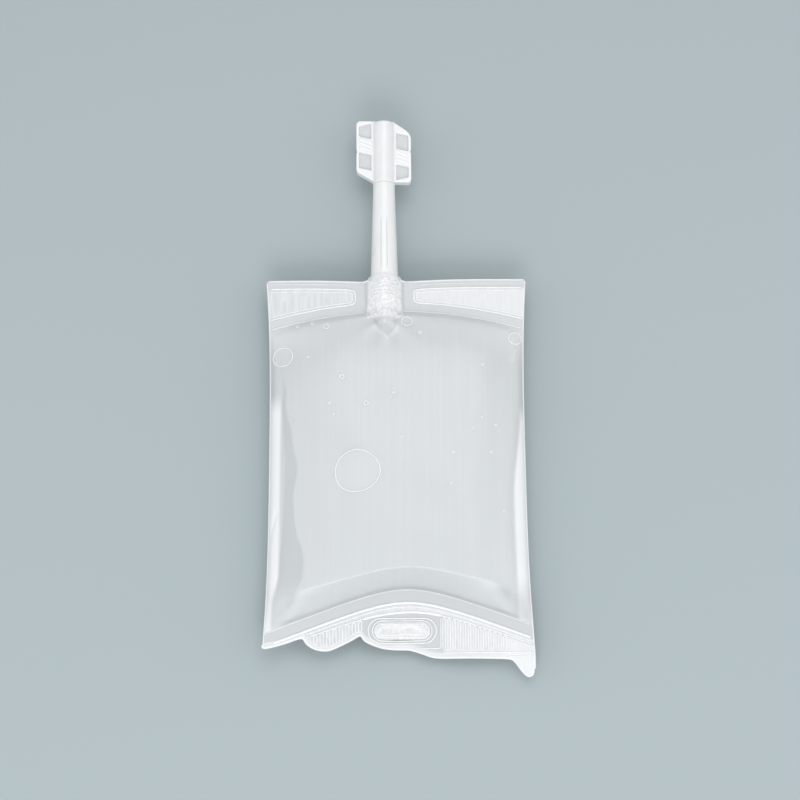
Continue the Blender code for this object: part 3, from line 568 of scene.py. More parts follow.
def filmFinish():
    finish = Finish("milkyFilm")
    sealed, panel, weld, bright = (finish.zone(name) for name in ("sealed", "panel", "weld", "bright"))
    streaks = finish.noise(filmLook["striationScale"], (1.0, 0.010, 0.010), 2.0)
    grain = finish.noise(filmLook["grainScale"], detail=2.0)
    stipple = finish.noise(filmLook["stippleScale"], (1.0, 0.10, 1.0), 2.0)
    crumple = finish.noise(filmLook["crumpleScale"], detail=2.0)
    rough = finish.blend(finish.band(stipple, 0.42, 0.58), filmLook["panelRough"], filmLook["panel"])
    rough = finish.blend(finish.zone("rightSide") * 0.6, rough, filmLook["panelRight"])
    speckle = finish.blend(finish.band(crumple, 0.40, 0.62), filmLook["weld"], filmLook["weldBright"])
    shade = filmLook["body"]
    for share, tone in (           # from the plain film up to the welds
            (finish.zone("lowEnd"), filmLook["bodyLow"]),
            (finish.band(streaks, 0.45, 0.62) * 0.30, filmLook["streak"]),
            # painted light: the film is made lighter on the upper slope below the top seal, against its shade
            (finish.zone("topSlopeLight"), filmLook["topSlopeLight"]),
            (finish.zone("airy") * 0.2, filmLook["bright"]),
            # painted shade: the slack band beside the left seam and the lit lower corners are darkened
            (finish.zone("slackShade"), filmLook["slackShade"]),
            # painted highlight on the raised folds, painted shadow in the tuck by the port's foot
            (finish.zone("tuckHighlight") * 0.7, filmLook["bright"]),
            (finish.zone("tuckShadow") * 0.7, filmLook["tuckShade"]),
            # the bright zone paints the lit side strips as a highlight and lightens the lower edge
            (sealed, filmLook["clear"]), (bright, filmLook["bright"]), (panel, rough), (weld, speckle)):
        shade = finish.blend(share, shade, tone)
    alpha = filmLook["alphaBody"] + sealed * (filmLook["alphaClear"] - filmLook["alphaBody"])
    alpha = alpha + panel * (filmLook["alphaPanel"] - filmLook["alphaClear"]) + weld * 0.15 + bright * 0.28
    relief = streaks * filmLook["striationHeight"] + grain * filmLook["grainHeight"]
    relief = relief + stipple * panel * filmLook["stippleHeight"] + crumple * weld * filmLook["crumpleHeight"]
    roughness = filmLook["roughness"] + (panel + weld) * 0.20 + grain * 0.08
    finish.set(Base_Color=shade, Alpha=alpha, Roughness=roughness, Coat_Weight=0.30, Coat_Roughness=0.12,
               Sheen_Weight=0.15, Normal=finish.bump(relief), IOR=1.5)
    return finish


plasticLook = {                # cloud: scale, stretch, detail; spread: from, to, share of the second tone
    "cloud": (260.0, (1.0, 0.35, 1.0)), "spread": (0.3, 0.7, 1.0), "cloudHeight": 0.00003,
    "grain": (2400.0, 2.0, 0.00001),
    "shader": {"Coat_Weight": 0.3, "Coat_Roughness": 0.12, "Sheen_Weight": 0.20},
}
finishLooks = {
    "weldedRidge": {
        "cloud": (500.0,), "spread": (0.3, 0.7, 1.0), "tones": ((0.83, 0.845, 0.85), (0.90, 0.908, 0.912)),
        "zones": {"faint": (filmLook["clear"], 1.0, -0.3)}, "alpha": 0.97, "roughness": (0.28, 0.15),
        "cloudHeight": 0.0, "grain": (2600.0, 3.0, 0.00001),
        "shader": {"Coat_Weight": 0.4, "Coat_Roughness": 0.10}},
    "crumpledFlap": {
        "cloud": (900.0,), "spread": (0.35, 0.65, 1.0), "tones": ((0.76, 0.775, 0.785), (0.88, 0.888, 0.893)),
        "zones": {}, "alpha": 0.95, "roughness": (0.30, 0.15), "cloudHeight": 0.00012,
        "shader": {"Coat_Weight": 0.3, "Coat_Roughness": 0.12}},
    "clearSolution": {
        "cloud": (45.0, (1.0, 0.6, 1.0), 2.0), "spread": (0.35, 0.65, 0.4),
        "tones": ((0.735, 0.770, 0.790), (0.700, 0.738, 0.760)),
        "zones": {"hollow": ((0.820, 0.838, 0.848), 0.6, 0.0)}, "alpha": 1.0, "roughness": (0.20, 0.10),
        "cloudHeight": 0.0002, "shader": {"IOR": 1.33}},
    "portPlastic": {
        **plasticLook, "tones": ((0.900, 0.910, 0.915), (0.940, 0.946, 0.950)),
        # painted shade along the mould lines of the tube
        "zones": {"fluteShade": ((0.62, 0.645, 0.66), 0.8, 0.0)}, "alpha": 0.85, "roughness": (0.24, 0.10)},
    "capPlastic": {
        **plasticLook, "tones": ((0.835, 0.845, 0.850), (0.875, 0.883, 0.888)),
        # painted highlight on the cap's outward edges
        "zones": {"web": ((0.70, 0.73, 0.745), 1.0, -0.14), "edge": ((0.97, 0.975, 0.98), 0.9, 0.06)},
        "alpha": 0.92, "roughness": (0.28, 0.10)},
}


def cloudyFinish(name):        # two tones in soft clouds, then a tone and a change of alpha for each zone
    look = finishLooks[name]
    finish = Finish(name)
    cloud = finish.noise(*look["cloud"])
    low, high, share = look["spread"]
    colour = finish.blend(finish.band(cloud, low, high) * share, *look["tones"])
    alpha = look["alpha"]
    for zone, (tone, strength, change) in look["zones"].items():
        area = finish.zone(zone)
        colour = finish.blend(area * strength, colour, tone)
        if change:
            alpha = area * change + alpha
    relief = cloud * look["cloudHeight"]
    if "grain" in look:
        scale, detail, height = look["grain"]
        relief = relief + finish.noise(scale, detail=detail) * height
    roughness, variation = look["roughness"]
    finish.set(Base_Color=colour, Alpha=alpha, Roughness=cloud * variation + roughness,
               Normal=finish.bump(relief), **look["shader"])
    return finish


# Welded lines, ribs and beads

class Skin:  # finds the film's height at a place, from above or below
    def __init__(self, piece):
        mesh = piece.data
        self.tree = BVHTree.FromPolygons([v.co for v in mesh.vertices], [tuple(p.vertices) for p in mesh.polygons])

    def height(self, x, y, side):
        hit = self.tree.ray_cast(Vector((x, y, side * 0.06)), Vector((0, 0, -side)))[0]
        return hit.z if hit else seamHeight(x, y)


def evenly(path, spacing, closed):   # spots along a path, their distances from its start, its length
    path = np.array(path, float)
    if closed:
        path = np.vstack((path, path[:1]))
    lengths = np.concatenate(([0], np.cumsum(np.linalg.norm(np.diff(path, axis=0), axis=1))))
    count = max(int(round(lengths[-1] / spacing)), 2)
    marks = np.linspace(0, lengths[-1], count + 1)
    spots = np.column_stack([np.interp(marks, lengths, path[:, axis]) for axis in range(path.shape[1])])
    return (spots[:-1], marks[:-1], lengths[-1]) if closed else (spots, marks, lengths[-1])


def directionAt(spots, index, closed=False):
    before = spots[index - 1] if index or closed else spots[0]
    after = spots[(index + 1) % len(spots)] if index < len(spots) - 1 or closed else spots[-1]
    return (after - before) / max(np.linalg.norm(after - before), 1e-9)


def roundedEnd(near):          # 1 along a line, less at its rounded ends
    return math.sqrt(max(1 - (1 - min(near, 1.0)) ** 2, 0.03))


class Ridges:  # raised lines on a skin, gathered into one piece
    def __init__(self, skin):
        self.skin = skin
        self.points, self.faces, self.faint = [], [], []

    def join(self, rings, closed=False, faint=0.0):
        # closes a row of rings into a solid bar
        start = len(self.points)
        size = len(rings[0])
        self.points += [point for ring in rings for point in ring]
        self.faint += [faint] * (size * len(rings))
        spans = len(rings) if closed else len(rings) - 1
        for index in range(spans):
            a = start + index * size
            b = start + (index + 1) % len(rings) * size
            for first in range(size):
                second = (first + 1) % size
                self.faces.append((a + first, a + second, b + second, b + first))
        if not closed:
            self.faces.append(tuple(start + k for k in reversed(range(size))))
            self.faces.append(tuple(start + (len(rings) - 1) * size + k for k in range(size)))

    def drape(self, path, width, height, side=1, closed=False, spacing=0.0006, rounds=6, faint=0.0):
        # a low rounded bar that lies on the film
        spots, marks, length = evenly(path, spacing, closed)
        rings = []
        for index, spot in enumerate(spots):
            along = directionAt(spots, index, closed)
            off = np.array((-along[1], along[0]))
            size = roundedEnd(1.0 if closed else min(marks[index], length - marks[index]) / (width / 2))
            ring = []
            for step in range(rounds + 1):
                angle = math.pi * step / rounds
                x, y = spot + off * math.cos(angle) * width / 2 * size
                lift = height * size * math.sin(angle) ** 0.8 - (0.00012 if step in (0, rounds) else 0)
                ring.append((x, y, self.skin.height(x, y, side) + side * lift))
            rings.append(ring if side > 0 else ring[::-1])
        self.join(rings, closed, faint)

    def bead(self, path, radius):
        # a round bead along an open edge
        spots, marks, length = evenly(path, 0.0006, False)
        rings = []
        for index, spot in enumerate(spots):
            along = Vector(directionAt(spots, index))
            right = along.cross(Vector((0, 0, 1))).normalized()
            up = right.cross(along)
            size = radius * roundedEnd(min(marks[index], length - marks[index]) / radius)
            turns = [-math.pi * step / 4 for step in range(8)]
            rings.append([Vector(spot) + size * (math.cos(t) * right + math.sin(t) * up) for t in turns])
        self.join(rings)

    def build(self, name):
        piece = addMesh(name, self.points, self.faces, cloudyFinish("weldedRidge"))
        setZone(piece, "faint", self.faint)
        return piece


welds = {
    "sideShare": 0.985,
    "edgeMargin": 0.0028,      # port edge to a wedge panel
    "edgeLine": 0.0011,
    "sealMargin": 0.0032,      # inner seal line to a wedge panel
    "portMargin": 0.0029,      # saddle to the inner end of a wedge panel
    "inner": 0.0010,           # second line inside each wedge border
    "squareness": 0.55,        # 1 is a round wedge end, less is squarer
    "slotLength": 0.0188,
    "slotWidth": 0.0057,
    "slotShift": 0.0012,
    "slotEdge": 0.0087,
    "slotPanel": 0.0266,
    "slotRings": (             # how much longer and wider than the slot, width and height of the line
        (0.0008, 0.0007, 0.0005, 0.00040), (0.0036, 0.0022, 0.0005, 0.00034)),
    "border": (0.00060, 0.00036),   # width and height of each raised line
    "secondBorder": (0.00034, 0.00018),
    "sealLine": (0.00055, 0.00026),
    "underEdge": (0.00040, 0.00018),
    "fine": (0.00045, 0.00022),
    "underKnurl": (0.00085, 0.00026),
    "slotCorner": (0.00045, 0.00028),
    "weldRib": (0.00062, 0.00032),
    "arcs": ((0.0, 0.00095, 0.00042), (0.0012, 0.00040, 0.00020)),   # drop, width, height
    "slotFloor": 0.0030,       # lower edge to the line under the slot panel
    "ribWidth": 0.00048,
    "ribHeight": 0.00036,
    "ribMargin": 0.0028,
    "knurl": 0.0030,           # width of the knurled band above the ribs, at its crown
    "ribs": ((-1, 17, 0.00105), (1, 26, 0.00083)),   # side, how many, pitch
    "footLine": 0.0015,        # lower edge to the line that closes the right ribs
    "weldRibs": 5,
    "weldRibReach": 0.68,
    "weldPitch": 0.00125,
    "weldRelief": 0.00022,
    "weldRoughness": ((2900.0, 1900.0), (-3700.0, 2500.0), (1300.0, -4100.0)),
}
welds["slotY"] = bag["lowY"] + welds["slotEdge"]


def onFilm(share, line):
    y = line(share * bag["half"])
    return share * halfWidth(y), y


def knurlLine(x):
    return hangerArc(x) - welds["knurl"] * (1 - 0.35 * np.abs(x / bag["half"]))


def wedgeEnd(side):
    return fit["shift"] + side * (fit["saddle"] + welds["portMargin"])


def wedgePath(side, inset):
    inner = wedgeEnd(side) + side * inset
    upperY = topEdge(inner) - welds["edgeMargin"] - inset
    lowerY = topSeal(inner) + welds["sealMargin"] + inset
    radius = (upperY - lowerY) / 2
    turnX = inner + side * radius
    outerX = side * welds["sideShare"] * halfWidth(upperY)
    straight = np.linspace(outerX, turnX, 25)
    path = [(x, topEdge(x) - welds["edgeMargin"] - inset) for x in straight]
    for step in range(1, 20):
        angle = math.pi * (0.5 + step / 20)
        across, up = (math.copysign(abs(part) ** welds["squareness"], part)
                      for part in (math.cos(angle), math.sin(angle)))
        path.append((turnX + side * radius * across, (upperY + lowerY) / 2 + radius * up))
    return path + [(x, topSeal(x) + welds["sealMargin"] + inset) for x in straight[::-1]]


def stadium(length, width):    # an outline like the slot's, about its middle
    radius = width / 2
    points = []
    for end in (1, -1):
        for angle in np.linspace(-math.pi / 2, math.pi / 2, 15):
            across, up = length / 2 - radius + radius * math.cos(angle), radius * math.sin(angle)
            points.append((welds["slotShift"] + end * across, welds["slotY"] + end * up))
    return points


def addFlangeLines(ridges):
    sides = np.linspace(-1, 1, 81)
    for side in (-1, 1):
        ridges.drape(wedgePath(side, 0.0), *welds["border"])
        ridges.drape(wedgePath(side, welds["inner"]), *welds["secondBorder"])
        line = [onFilm(side * s, topSeal) for s in np.linspace(welds["sideShare"], 0.0, 50)]
        line = [p for p in line if side * (p[0] - fit["shift"]) > fit["saddle"] * 0.80]
        ridges.drape(line, *welds["sealLine"])
    edge = [onFilm(share, topEdge) for share in sides]
    for side in (-1, 1):
        half = [(x, y, seamHeight(x, y)) for x, y in edge if side * (x - fit["shift"]) > fit["saddle"] * 0.55]
        ridges.bead(half, 0.00050)
        second = [(x, y - welds["edgeLine"]) for x, y in edge if side * (x - fit["shift"]) > fit["saddle"] * 1.6]
        ridges.drape(second, *welds["underEdge"], faint=0.3)
    lower = [(x, lowerEdge(x)) for x in np.linspace(-1, 1, 260) * bag["half"]]
    ends = [(x, y + 0.0010) for x, y in (lower[0], lower[-1])]
    ridges.bead([(x, y, seamHeight(x, y)) for x, y in ends[:1] + lower + ends[1:]], 0.00052)
    for side in (-1, 1):
        ys = np.linspace(lowerEdge(side * bag["half"]), topEdge(bag["half"]), 200)
        ridges.bead([(side * halfWidth(y), y, seamHeight(side * halfWidth(y), y)) for y in ys], 0.00042)


def addHangerLines(ridges):
    share = welds["sideShare"]
    sides = np.linspace(-share, share, 81)
    ridges.drape([onFilm(s, hangerSeal) for s in sides], *welds["fine"], faint=0.35)
    for drop, width, height in welds["arcs"]:
        line = [onFilm(s, lambda x: hangerArc(x) - drop) for s in sides]
        ridges.drape([p for p in line if p[1] > lowerEdge(p[0]) + 0.0006], width, height)
    panelEnds = [welds["slotShift"] + side * welds["slotPanel"] / 2 for side in (-1, 1)]
    low = [(x, knurlLine(x)) for x in sides * bag["half"] if knurlLine(x) > lowerEdge(x) + 0.0006]
    ridges.drape(low, *welds["fine"])
    ridges.drape([p for p in low if panelEnds[0] < p[0] < panelEnds[1]], *welds["underKnurl"])
    for long, wide, width, height in welds["slotRings"]:
        ring = stadium(welds["slotLength"] + long, welds["slotWidth"] + wide)
        ridges.drape([(x, max(y, lowerEdge(x) + 0.0007)) for x, y in ring], width, height, closed=True)
    end, floor = panelEnds[1] - 0.0006, bag["lowY"] + welds["slotFloor"]
    corner = [(end - 0.0008 * (1 - math.cos(a)), floor + 0.0008 * (1 - math.sin(a)))
              for a in np.linspace(0, math.pi / 2, 7)]
    start = [(end, knurlLine(end) - 0.0004)]
    ridges.drape(start + corner + [(0.0050, floor)], *welds["slotCorner"])
    for side, count, pitch in welds["ribs"]:
        ridges.drape(ribPath(side, count, pitch), welds["ribWidth"], welds["ribHeight"], spacing=0.00022)
    for height, first in ((welds["footLine"], panelEnds[1]), (0.0002, 0.80 * bag["half"])):
        foot = [(x, bag["lowY"] + height) for x in np.linspace(first, share * bag["half"], 30)]
        ridges.drape(foot, *welds["fine"])


def ribPath(side, count, pitch):   # one line that runs up and down along the ribs
    path = []
    for number in range(count):
        x = welds["slotShift"] + side * (welds["slotPanel"] / 2 + number * pitch)
        top = knurlLine(x) - 0.0009
        low = max(bag["lowY"] + welds["ribMargin"], lowerEdge(x) + 0.0012)
        if top - low < 0.0008:
            break
        ends = (top, low) if number % 2 else (low, top)
        path += [(x, ends[0]), (x, ends[1])]
        turn = -1 if number % 2 else 1
        path += [(x + side * pitch / 2 * (1 - math.cos(a)), ends[1] + turn * pitch / 2 * math.sin(a))
                 for a in np.linspace(0, math.pi, 7)[1:-1]]
    return path


def addPortWeld(ridges):
    for side in (-1, 1):
        for number in range(welds["weldRibs"]):
            y = bag["edgeY"] - bag["edgeDip"] - welds["weldPitch"] * (number + 0.7)
            reach = fit["saddle"] * welds["weldRibReach"]
            path = [(fit["shift"] + reach * s, y) for s in (-1, 0, 1)]
            ridges.drape(path, *welds["weldRib"], side, spacing=0.0005)


def overFoot(x, y):            # 1 where the film is welded round the port's foot
    fringe = 0.76 + 0.08 * smoothStep((fit["footY"] + 0.0060 - y) / 0.0040)
    across = 1 - smoothStep((np.abs(x - fit["shift"]) / fit["saddle"] - fringe) / 0.14)
    return across * smoothStep((y - fit["footY"] + 0.0008) / 0.0010)


filmGrid = {                   # where lines crowd: share, spacing, reach; then their usual spacing
    "columns": (((-1, 0.0035, 0.05), (1, 0.0035, 0.05), (-0.81, 0.006, 0.08),
                 (2 * fit["shift"] / bag["flatWidth"], 0.006, 0.16)), 0.0142),
    "rows": (((0, 0.0040, 0.05), (1, 0.0035, 0.10)), 0.0085),
    "ends": (40, 14, 34),      # lines in the hanger flange, below the crease and in the port seal
}


def panelZone(x, y, flat):     # wedge panels, ribbed panels and the knurled band
    end = np.where(x < 0, wedgeEnd(-1) - x, x - wedgeEnd(1))
    upper = topEdge(x) - welds["edgeMargin"] - y
    lower = y - topSeal(x) - welds["sealMargin"]
    wedge = np.minimum(np.minimum(upper, lower), end - 0.0002)
    knurl = np.minimum(hangerArc(flat) - y, y - knurlLine(flat)) - 0.0002
    beside = np.abs(x - welds["slotShift"]) - welds["slotPanel"] / 2
    overEdge = np.where(x > 0, y - bag["lowY"] - welds["footLine"], y - lowerEdge(x) - 0.0006)
    ribbed = np.minimum(beside, np.minimum(knurlLine(flat) - y, overEdge))
    return smoothStep(np.maximum(wedge, np.maximum(knurl, ribbed)) / 0.0005)


strips = {                     # painted highlights: the lit strips along both side folds
    "left": {"side": -1, "start": -0.002, "width": 0.0041, "narrowing": 0.0018, "widening": 0.0, "fade": 0.20},
    "right": {"side": 1, "start": -0.006, "width": 0.0018, "narrowing": 0.0, "widening": 0.0027, "fade": 0.65},
}


def brightZone(x, y, unsealed):    # the painted highlight of the lit strips, and a lighter band at the film's lower edge
    low = smoothStep((reliefAndShade["lowFade"][0] - y) / reliefAndShade["lowFade"][1])
    bright = 0.45 - 0.45 * smoothStep((y - np.maximum(lowerEdge(x), bag["lowY"]) - 0.0012) / 0.0006)
    for strip in strips.values():
        reach = strip["width"] - strip["narrowing"] * low + strip["widening"] * smoothStep((-0.010 - y) / 0.030)
        along = smoothStep((strip["start"] - y) / 0.008) * (1 - strip["fade"] * low) * unsealed
        inward = halfWidth(y) - strip["side"] * x
        bright = np.maximum(bright, (1 - smoothStep((inward - reach + 0.0010) / 0.0014)) * along)
    return bright


def zonesOf(film):
    x, y, _ = vertexPlaces(film).T
    flat = x * bag["half"] / halfWidth(y)
    sealed = 1 - smoothStep(np.minimum(topSeal(flat) - y, y - hangerSeal(flat)) / 0.0012 + 0.5)
    unsealed = 1 - sealed
    # painted shade that darkens the lit lower corners under the crease, less on the left
    corner = bell(nearLine(np.abs(x - reliefAndShade["cornerMiddle"]), y, inMetres(reliefAndShade["cornerShadeLine"])), reliefAndShade["cornerWidth"])
    underCrease = smoothStep((hangerSeal(flat) + creaseRise(flat) - y) / reliefAndShade["creaseSoftness"])
    corner = corner * underCrease * np.where(x < 0, 0.55, 1.0) * unsealed
    # painted shadow in the tuck beside the port's foot
    shadowX, shadowY = reliefAndShade["tuckShadow"]
    shadow = bell(x - shadowX / 1000, 0.0012) * bell(y - shadowY / 1000, 0.0016) * unsealed
    for name, values in {
            "sealed": sealed,
            "panel": panelZone(x, y, flat),
            "weld": overFoot(x, y),
            # painted shade on the slack band and on the lower corners
            "slackShade": np.maximum(slackTroughAndShade(x, y), corner),
            "tuckHighlight": foldLines(x, y, 1) / reliefAndShade["tuckHeight"] * unsealed,
            "tuckShadow": np.maximum(shadow, 0.7 * corner),
            "bright": brightZone(x, y, unsealed),
            # painted light on the upper slope below the top seal
            "topSlopeLight": (1 - smoothStep((topSeal(flat) - y) / 0.016)) * unsealed * (1 - overFoot(x, y)),
            "airy": bubbleHollow(x, y) * unsealed,
            "lowEnd": smoothStep((bag["edgeY"] - y) / bag["length"]),
            "rightSide": smoothStep(x / bag["half"] + 0.5)}.items():
        setZone(film, name, values)


def buildFilm():
    columns = stations(-1, 1, *filmGrid["columns"])
    flange, crease, top = (np.linspace(0, 1, count) for count in filmGrid["ends"])
    rows = rowLines(0.0, flange[:-1], crease[:-1], stations(0, 1, *filmGrid["rows"]), top[1:])
    film, _ = pillow("bagFilm", 0.0, columns, rows, filmFinish())
    print("film skin:", len(film.data.polygons), "faces")
    places = vertexPlaces(film)
    x, y = places[:, 0], places[:, 1]
    rough = sum(np.sin(x * across + y * along + across) for across, along in welds["weldRoughness"])
    outward = np.sign(places[:, 2] - seamHeight(x, y))
    places[:, 2] += outward * overFoot(x, y) * welds["weldRelief"] * (0.5 + rough / len(welds["weldRoughness"]))
    moveVertices(film, places)
    ridges = Ridges(Skin(film))
    addFlangeLines(ridges)
    addHangerLines(ridges)
    addPortWeld(ridges)
    welded = ridges.build("filmRidges")
    print("welded lines:", len(welded.data.polygons), "faces")
    rims = Ridges(ridges.skin)
    for middleX, middleY, radius in bubbles:
        rims.drape(bubbleRing(middleX, middleY, radius), min(liquid["rimWidth"], 0.9 * radius), liquid["rimHeight"],
                   closed=True, spacing=min(0.0005, radius / 3), rounds=4)
    menisci = rims.build("bubbleRims")
    combine(film, slab("slotCutter", stadium(welds["slotLength"], welds["slotWidth"]), -0.01, 0.03), "DIFFERENCE")
    film.data.set_sharp_from_angle(angle=math.radians(60))
    zonesOf(film)
    return film, welded, menisci


flap = {
    "gap": 0.0001,             # flap to the slot's edge
    "rings": (0.10, 0.22, 0.36, 0.50, 0.62, 0.70, 0.76, 0.82, 0.88, 0.94, 1.0),
    "crumples": ((0.00024, 1900, 900, 0.0), (0.00018, 3100, -2300, 1.0)),   # height, turns across, along, phase
    "bulge": (0.76, 0.07, 0.00015),
    "lines": ((0.0014, 0.00006), (0.0030, 0.00012)),   # smaller than the flap by, unevenness
    "lineSize": (0.00045, 0.00024),
}


def buildFlap():
    # the die-cut flap that is still in the hanger slot, crumpled, with its own raised lines
    length, width = welds["slotLength"] - flap["gap"], welds["slotWidth"] - flap["gap"]
    place, reach, height = flap["bulge"]
    rings = []
    for side, order in ((-1, flap["rings"]), (1, flap["rings"][::-1])):
        for share in order:
            lift = side * (bag["halfSeal"] + height * bell(share - place, reach))
            ring = []
            for x, y in stadium(length - (1 - share) * width, share * width):
                crumple = sum(h * math.sin(x * a + y * b + phase) for h, a, b, phase in flap["crumples"])
                ring.append((x, y, seamHeight(x, y) + crumple * (1 - share ** 4) + lift))
            rings.append(ring)
    sheet = Ridges(None)
    sheet.join(rings)
    piece = addMesh("slotFlap", sheet.points, sheet.faces, cloudyFinish("crumpledFlap"))
    lines = Ridges(Skin(piece))
    for shrink, wobble in flap["lines"]:
        ring = stadium(length - shrink, width - shrink)
        ring = [(x + wobble * math.sin(y * 9000), y + wobble * math.sin(x * 4200)) for x, y in ring]
        lines.drape(ring, *flap["lineSize"], closed=True, spacing=0.0004)
    return piece, lines.build("flapLines")


# Liquid and its bubbles

liquid = {
    "bubbles": (               # across, from the port edge, radius, all in millimetres
        (-13.2, 68.7, 7.2), (-38.6, 28.1, 3.4), (3.6, 16.0, 1.8), (40.5, 21.6, 2.2), (-23.8, 17.3, 1.0),
        (-18.3, 36.5, 0.7), (-10.2, 45.7, 0.7), (-28.7, 15.9, 0.5), (8.0, 20.7, 0.5), (-33.9, 16.8, 0.4),
        (-22.4, 45.4, 0.36), (-21.1, 49.3, 0.36), (-1.0, 42.3, 0.36), (1.5, 57.4, 0.36), (25.4, 54.2, 0.36),
        (28.3, 50.7, 0.36), (33.0, 53.1, 0.36), (31.1, 62.4, 0.36), (18.5, 62.5, 0.36), (17.7, 72.9, 0.36),
        (35.0, 81.9, 0.36), (28.9, 32.3, 0.36), (-29.8, 29.0, 0.36), (-2.1, 43.9, 0.30), (25.6, 56.0, 0.26)),
    "bigWobble": ((2, 0.9, 0.035), (3, 2.0, 0.020), (5, 0.4, 0.008)),
    "rimWidth": 0.00042,
    "rimHeight": 0.00014,
    "hollowDepth": 0.0006,
    "columns": (((-1, 0.004, 0.04), (1, 0.004, 0.04)), 0.0100),
    "rows": (((0, 0.0035, 0.06), (1, 0.0035, 0.08)), 0.0085),
}


bubbles = [(across / 1000, bag["edgeY"] - fromEdge / 1000, radius / 1000)
           for across, fromEdge, radius in liquid["bubbles"]]


def bubbleSize(radius, angle):
    if radius < bubbles[0][2]:
        return radius
    wobble = sum(share * np.sin(turns * angle + phase) for turns, phase, share in liquid["bigWobble"])
    return radius * (1 + wobble)   # the big bubble is squashed and uneven


def bubbleRing(middleX, middleY, radius):
    angles = np.linspace(0, 2 * math.pi, max(round(radius * 20000), 12), endpoint=False)
    size = bubbleSize(radius, angles)
    return np.column_stack((middleX + size * np.cos(angles), middleY + size * np.sin(angles)))


def bubbleHollow(x, y):
    hollow = np.zeros_like(x)
    for middleX, middleY, radius in bubbles:
        dx, dy = x - middleX, y - middleY
        size = bubbleSize(radius, np.arctan2(dy, dx))
        hollow = np.maximum(hollow, 1 - smoothStep((np.hypot(dx, dy) - size) / (0.0003 + 0.1 * size) + 1))
    return hollow


def buildLiquid():
    inset = bag["wall"] + fit["gap"]
    columns = stations(-1, 1, *liquid["columns"])
    rows = rowLines(inset, (), np.linspace(0, 1, 12)[:-1], stations(0, 1, *liquid["rows"]), ())
    piece, grid = pillow("fluid", inset, columns, rows, cloudyFinish("clearSolution"))
    print("liquid:", len(piece.data.polygons), "faces")
    places = vertexPlaces(piece)
    isUpper = np.zeros(len(places))
    isUpper[:grid.size] = 1
    hollow = bubbleHollow(places[:, 0], places[:, 1]) * isUpper
    places[:, 2] -= hollow * liquid["hollowDepth"]
    moveVertices(piece, places)
    setZone(piece, "hollow", hollow)
    return piece


# Port and cap

cap = {
    "baseY": 0.07345,
    "length": 0.0233,
    "width": 0.0192,
    "thickness": 0.0030,
    "slope": 0.0044,
    "column": 0.0078,
    "root": 0.42,
    "web": 0.0011,
    "rim": 0.00085,
    "bar": 0.0058,
    "tilt": 0.0011,
    "windowFoot": 0.0012,
    "corner": 0.0012,
    "notch": 0.00035,
    "notchLength": 0.0016,
    "ridges": 3,
    "ridgeWidth": 0.0005,
    "ridgeHeight": 0.00025,
    "ridgePitch": 0.0015,
    "ridgeSlant": 0.40,
    "plugLength": 0.0130,
    "plugRadius": 0.0027,
    "dome": 0.0013,            # rounding of the column's end
    "seam": 0.00007,           # what shows of the gap between cap and tube
    "voxel": 0.00016,
    "edgeLow": 0.000004,       # how far an outward edge stands above its neighbours
    "edgeHigh": 0.000012,
}


def flutes(places, low, high):  # 1 along the fine mould lines of the tube
    angle = np.arctan2(places[:, 2], places[:, 0])
    ends = smoothStep((places[:, 1] - low) / 0.002) * smoothStep((high - places[:, 1]) / 0.002)
    lines = 0.0
    for turn in range(4):
        for offset in fit["fluteAngles"]:
            apart = np.angle(np.exp(1j * (angle - math.radians(90 * turn + offset))))
            lines = np.maximum(lines, bell(apart, math.radians(fit["fluteWidth"])))
    return lines * ends * (np.hypot(places[:, 0], places[:, 2]) > (fit["neckRadius"] + fit["boreRadius"]) / 2)


def settle(piece, y):          # from the turning frame to the port's axis, with its place in the mesh
    moveVertices(piece, vertexPlaces(piece) + (fit["shift"], y, fit["axisHeight"]))


def boatSection(y, scale):     # one ring of the port's foot
    halfLong, halfHigh = fit["boatHalf"] * scale, (fit["baseRadius"] + fit["boatRise"]) * scale
    ring = []
    for step in range(48):
        angle = 2 * math.pi * step / 48
        x = halfLong * math.cos(angle)
        side = math.copysign(1, math.sin(angle)) if step % 24 else 0
        pointed = halfHigh * (1 - abs(x / halfLong) ** fit["boatPoint"])
        roundPart = halfHigh * abs(math.sin(angle))
        blunt = fit["boatBluntness"]
        ring.append((x, y, side * (pointed * (1 - blunt) + roundPart * blunt)))
    return ring


def addGussets(port):          # the film's edge runs up the tube in a small curve on both sides
    wide, tall, half = fit["gussetWidth"], fit["gussetHeight"], 0.8 * bag["halfSeal"]
    start = fit["baseRadius"] - 0.0004
    edge = topEdge(fit["shift"] + start + wide) - bag["edgeY"]
    curve = [(start + wide * (1 - math.cos(t)), edge + tall * (1 - math.sin(t)))
             for t in np.linspace(0, math.pi / 2, 12)]
    foot = [(start + wide, edge - fit["gussetFoot"]), (start, edge - fit["gussetFoot"])]
    for side in (-1, 1):
        outline = [(side * x, y) for x, y in curve + foot]
        combine(port, slab("gusset", outline, -half, half), "UNION")


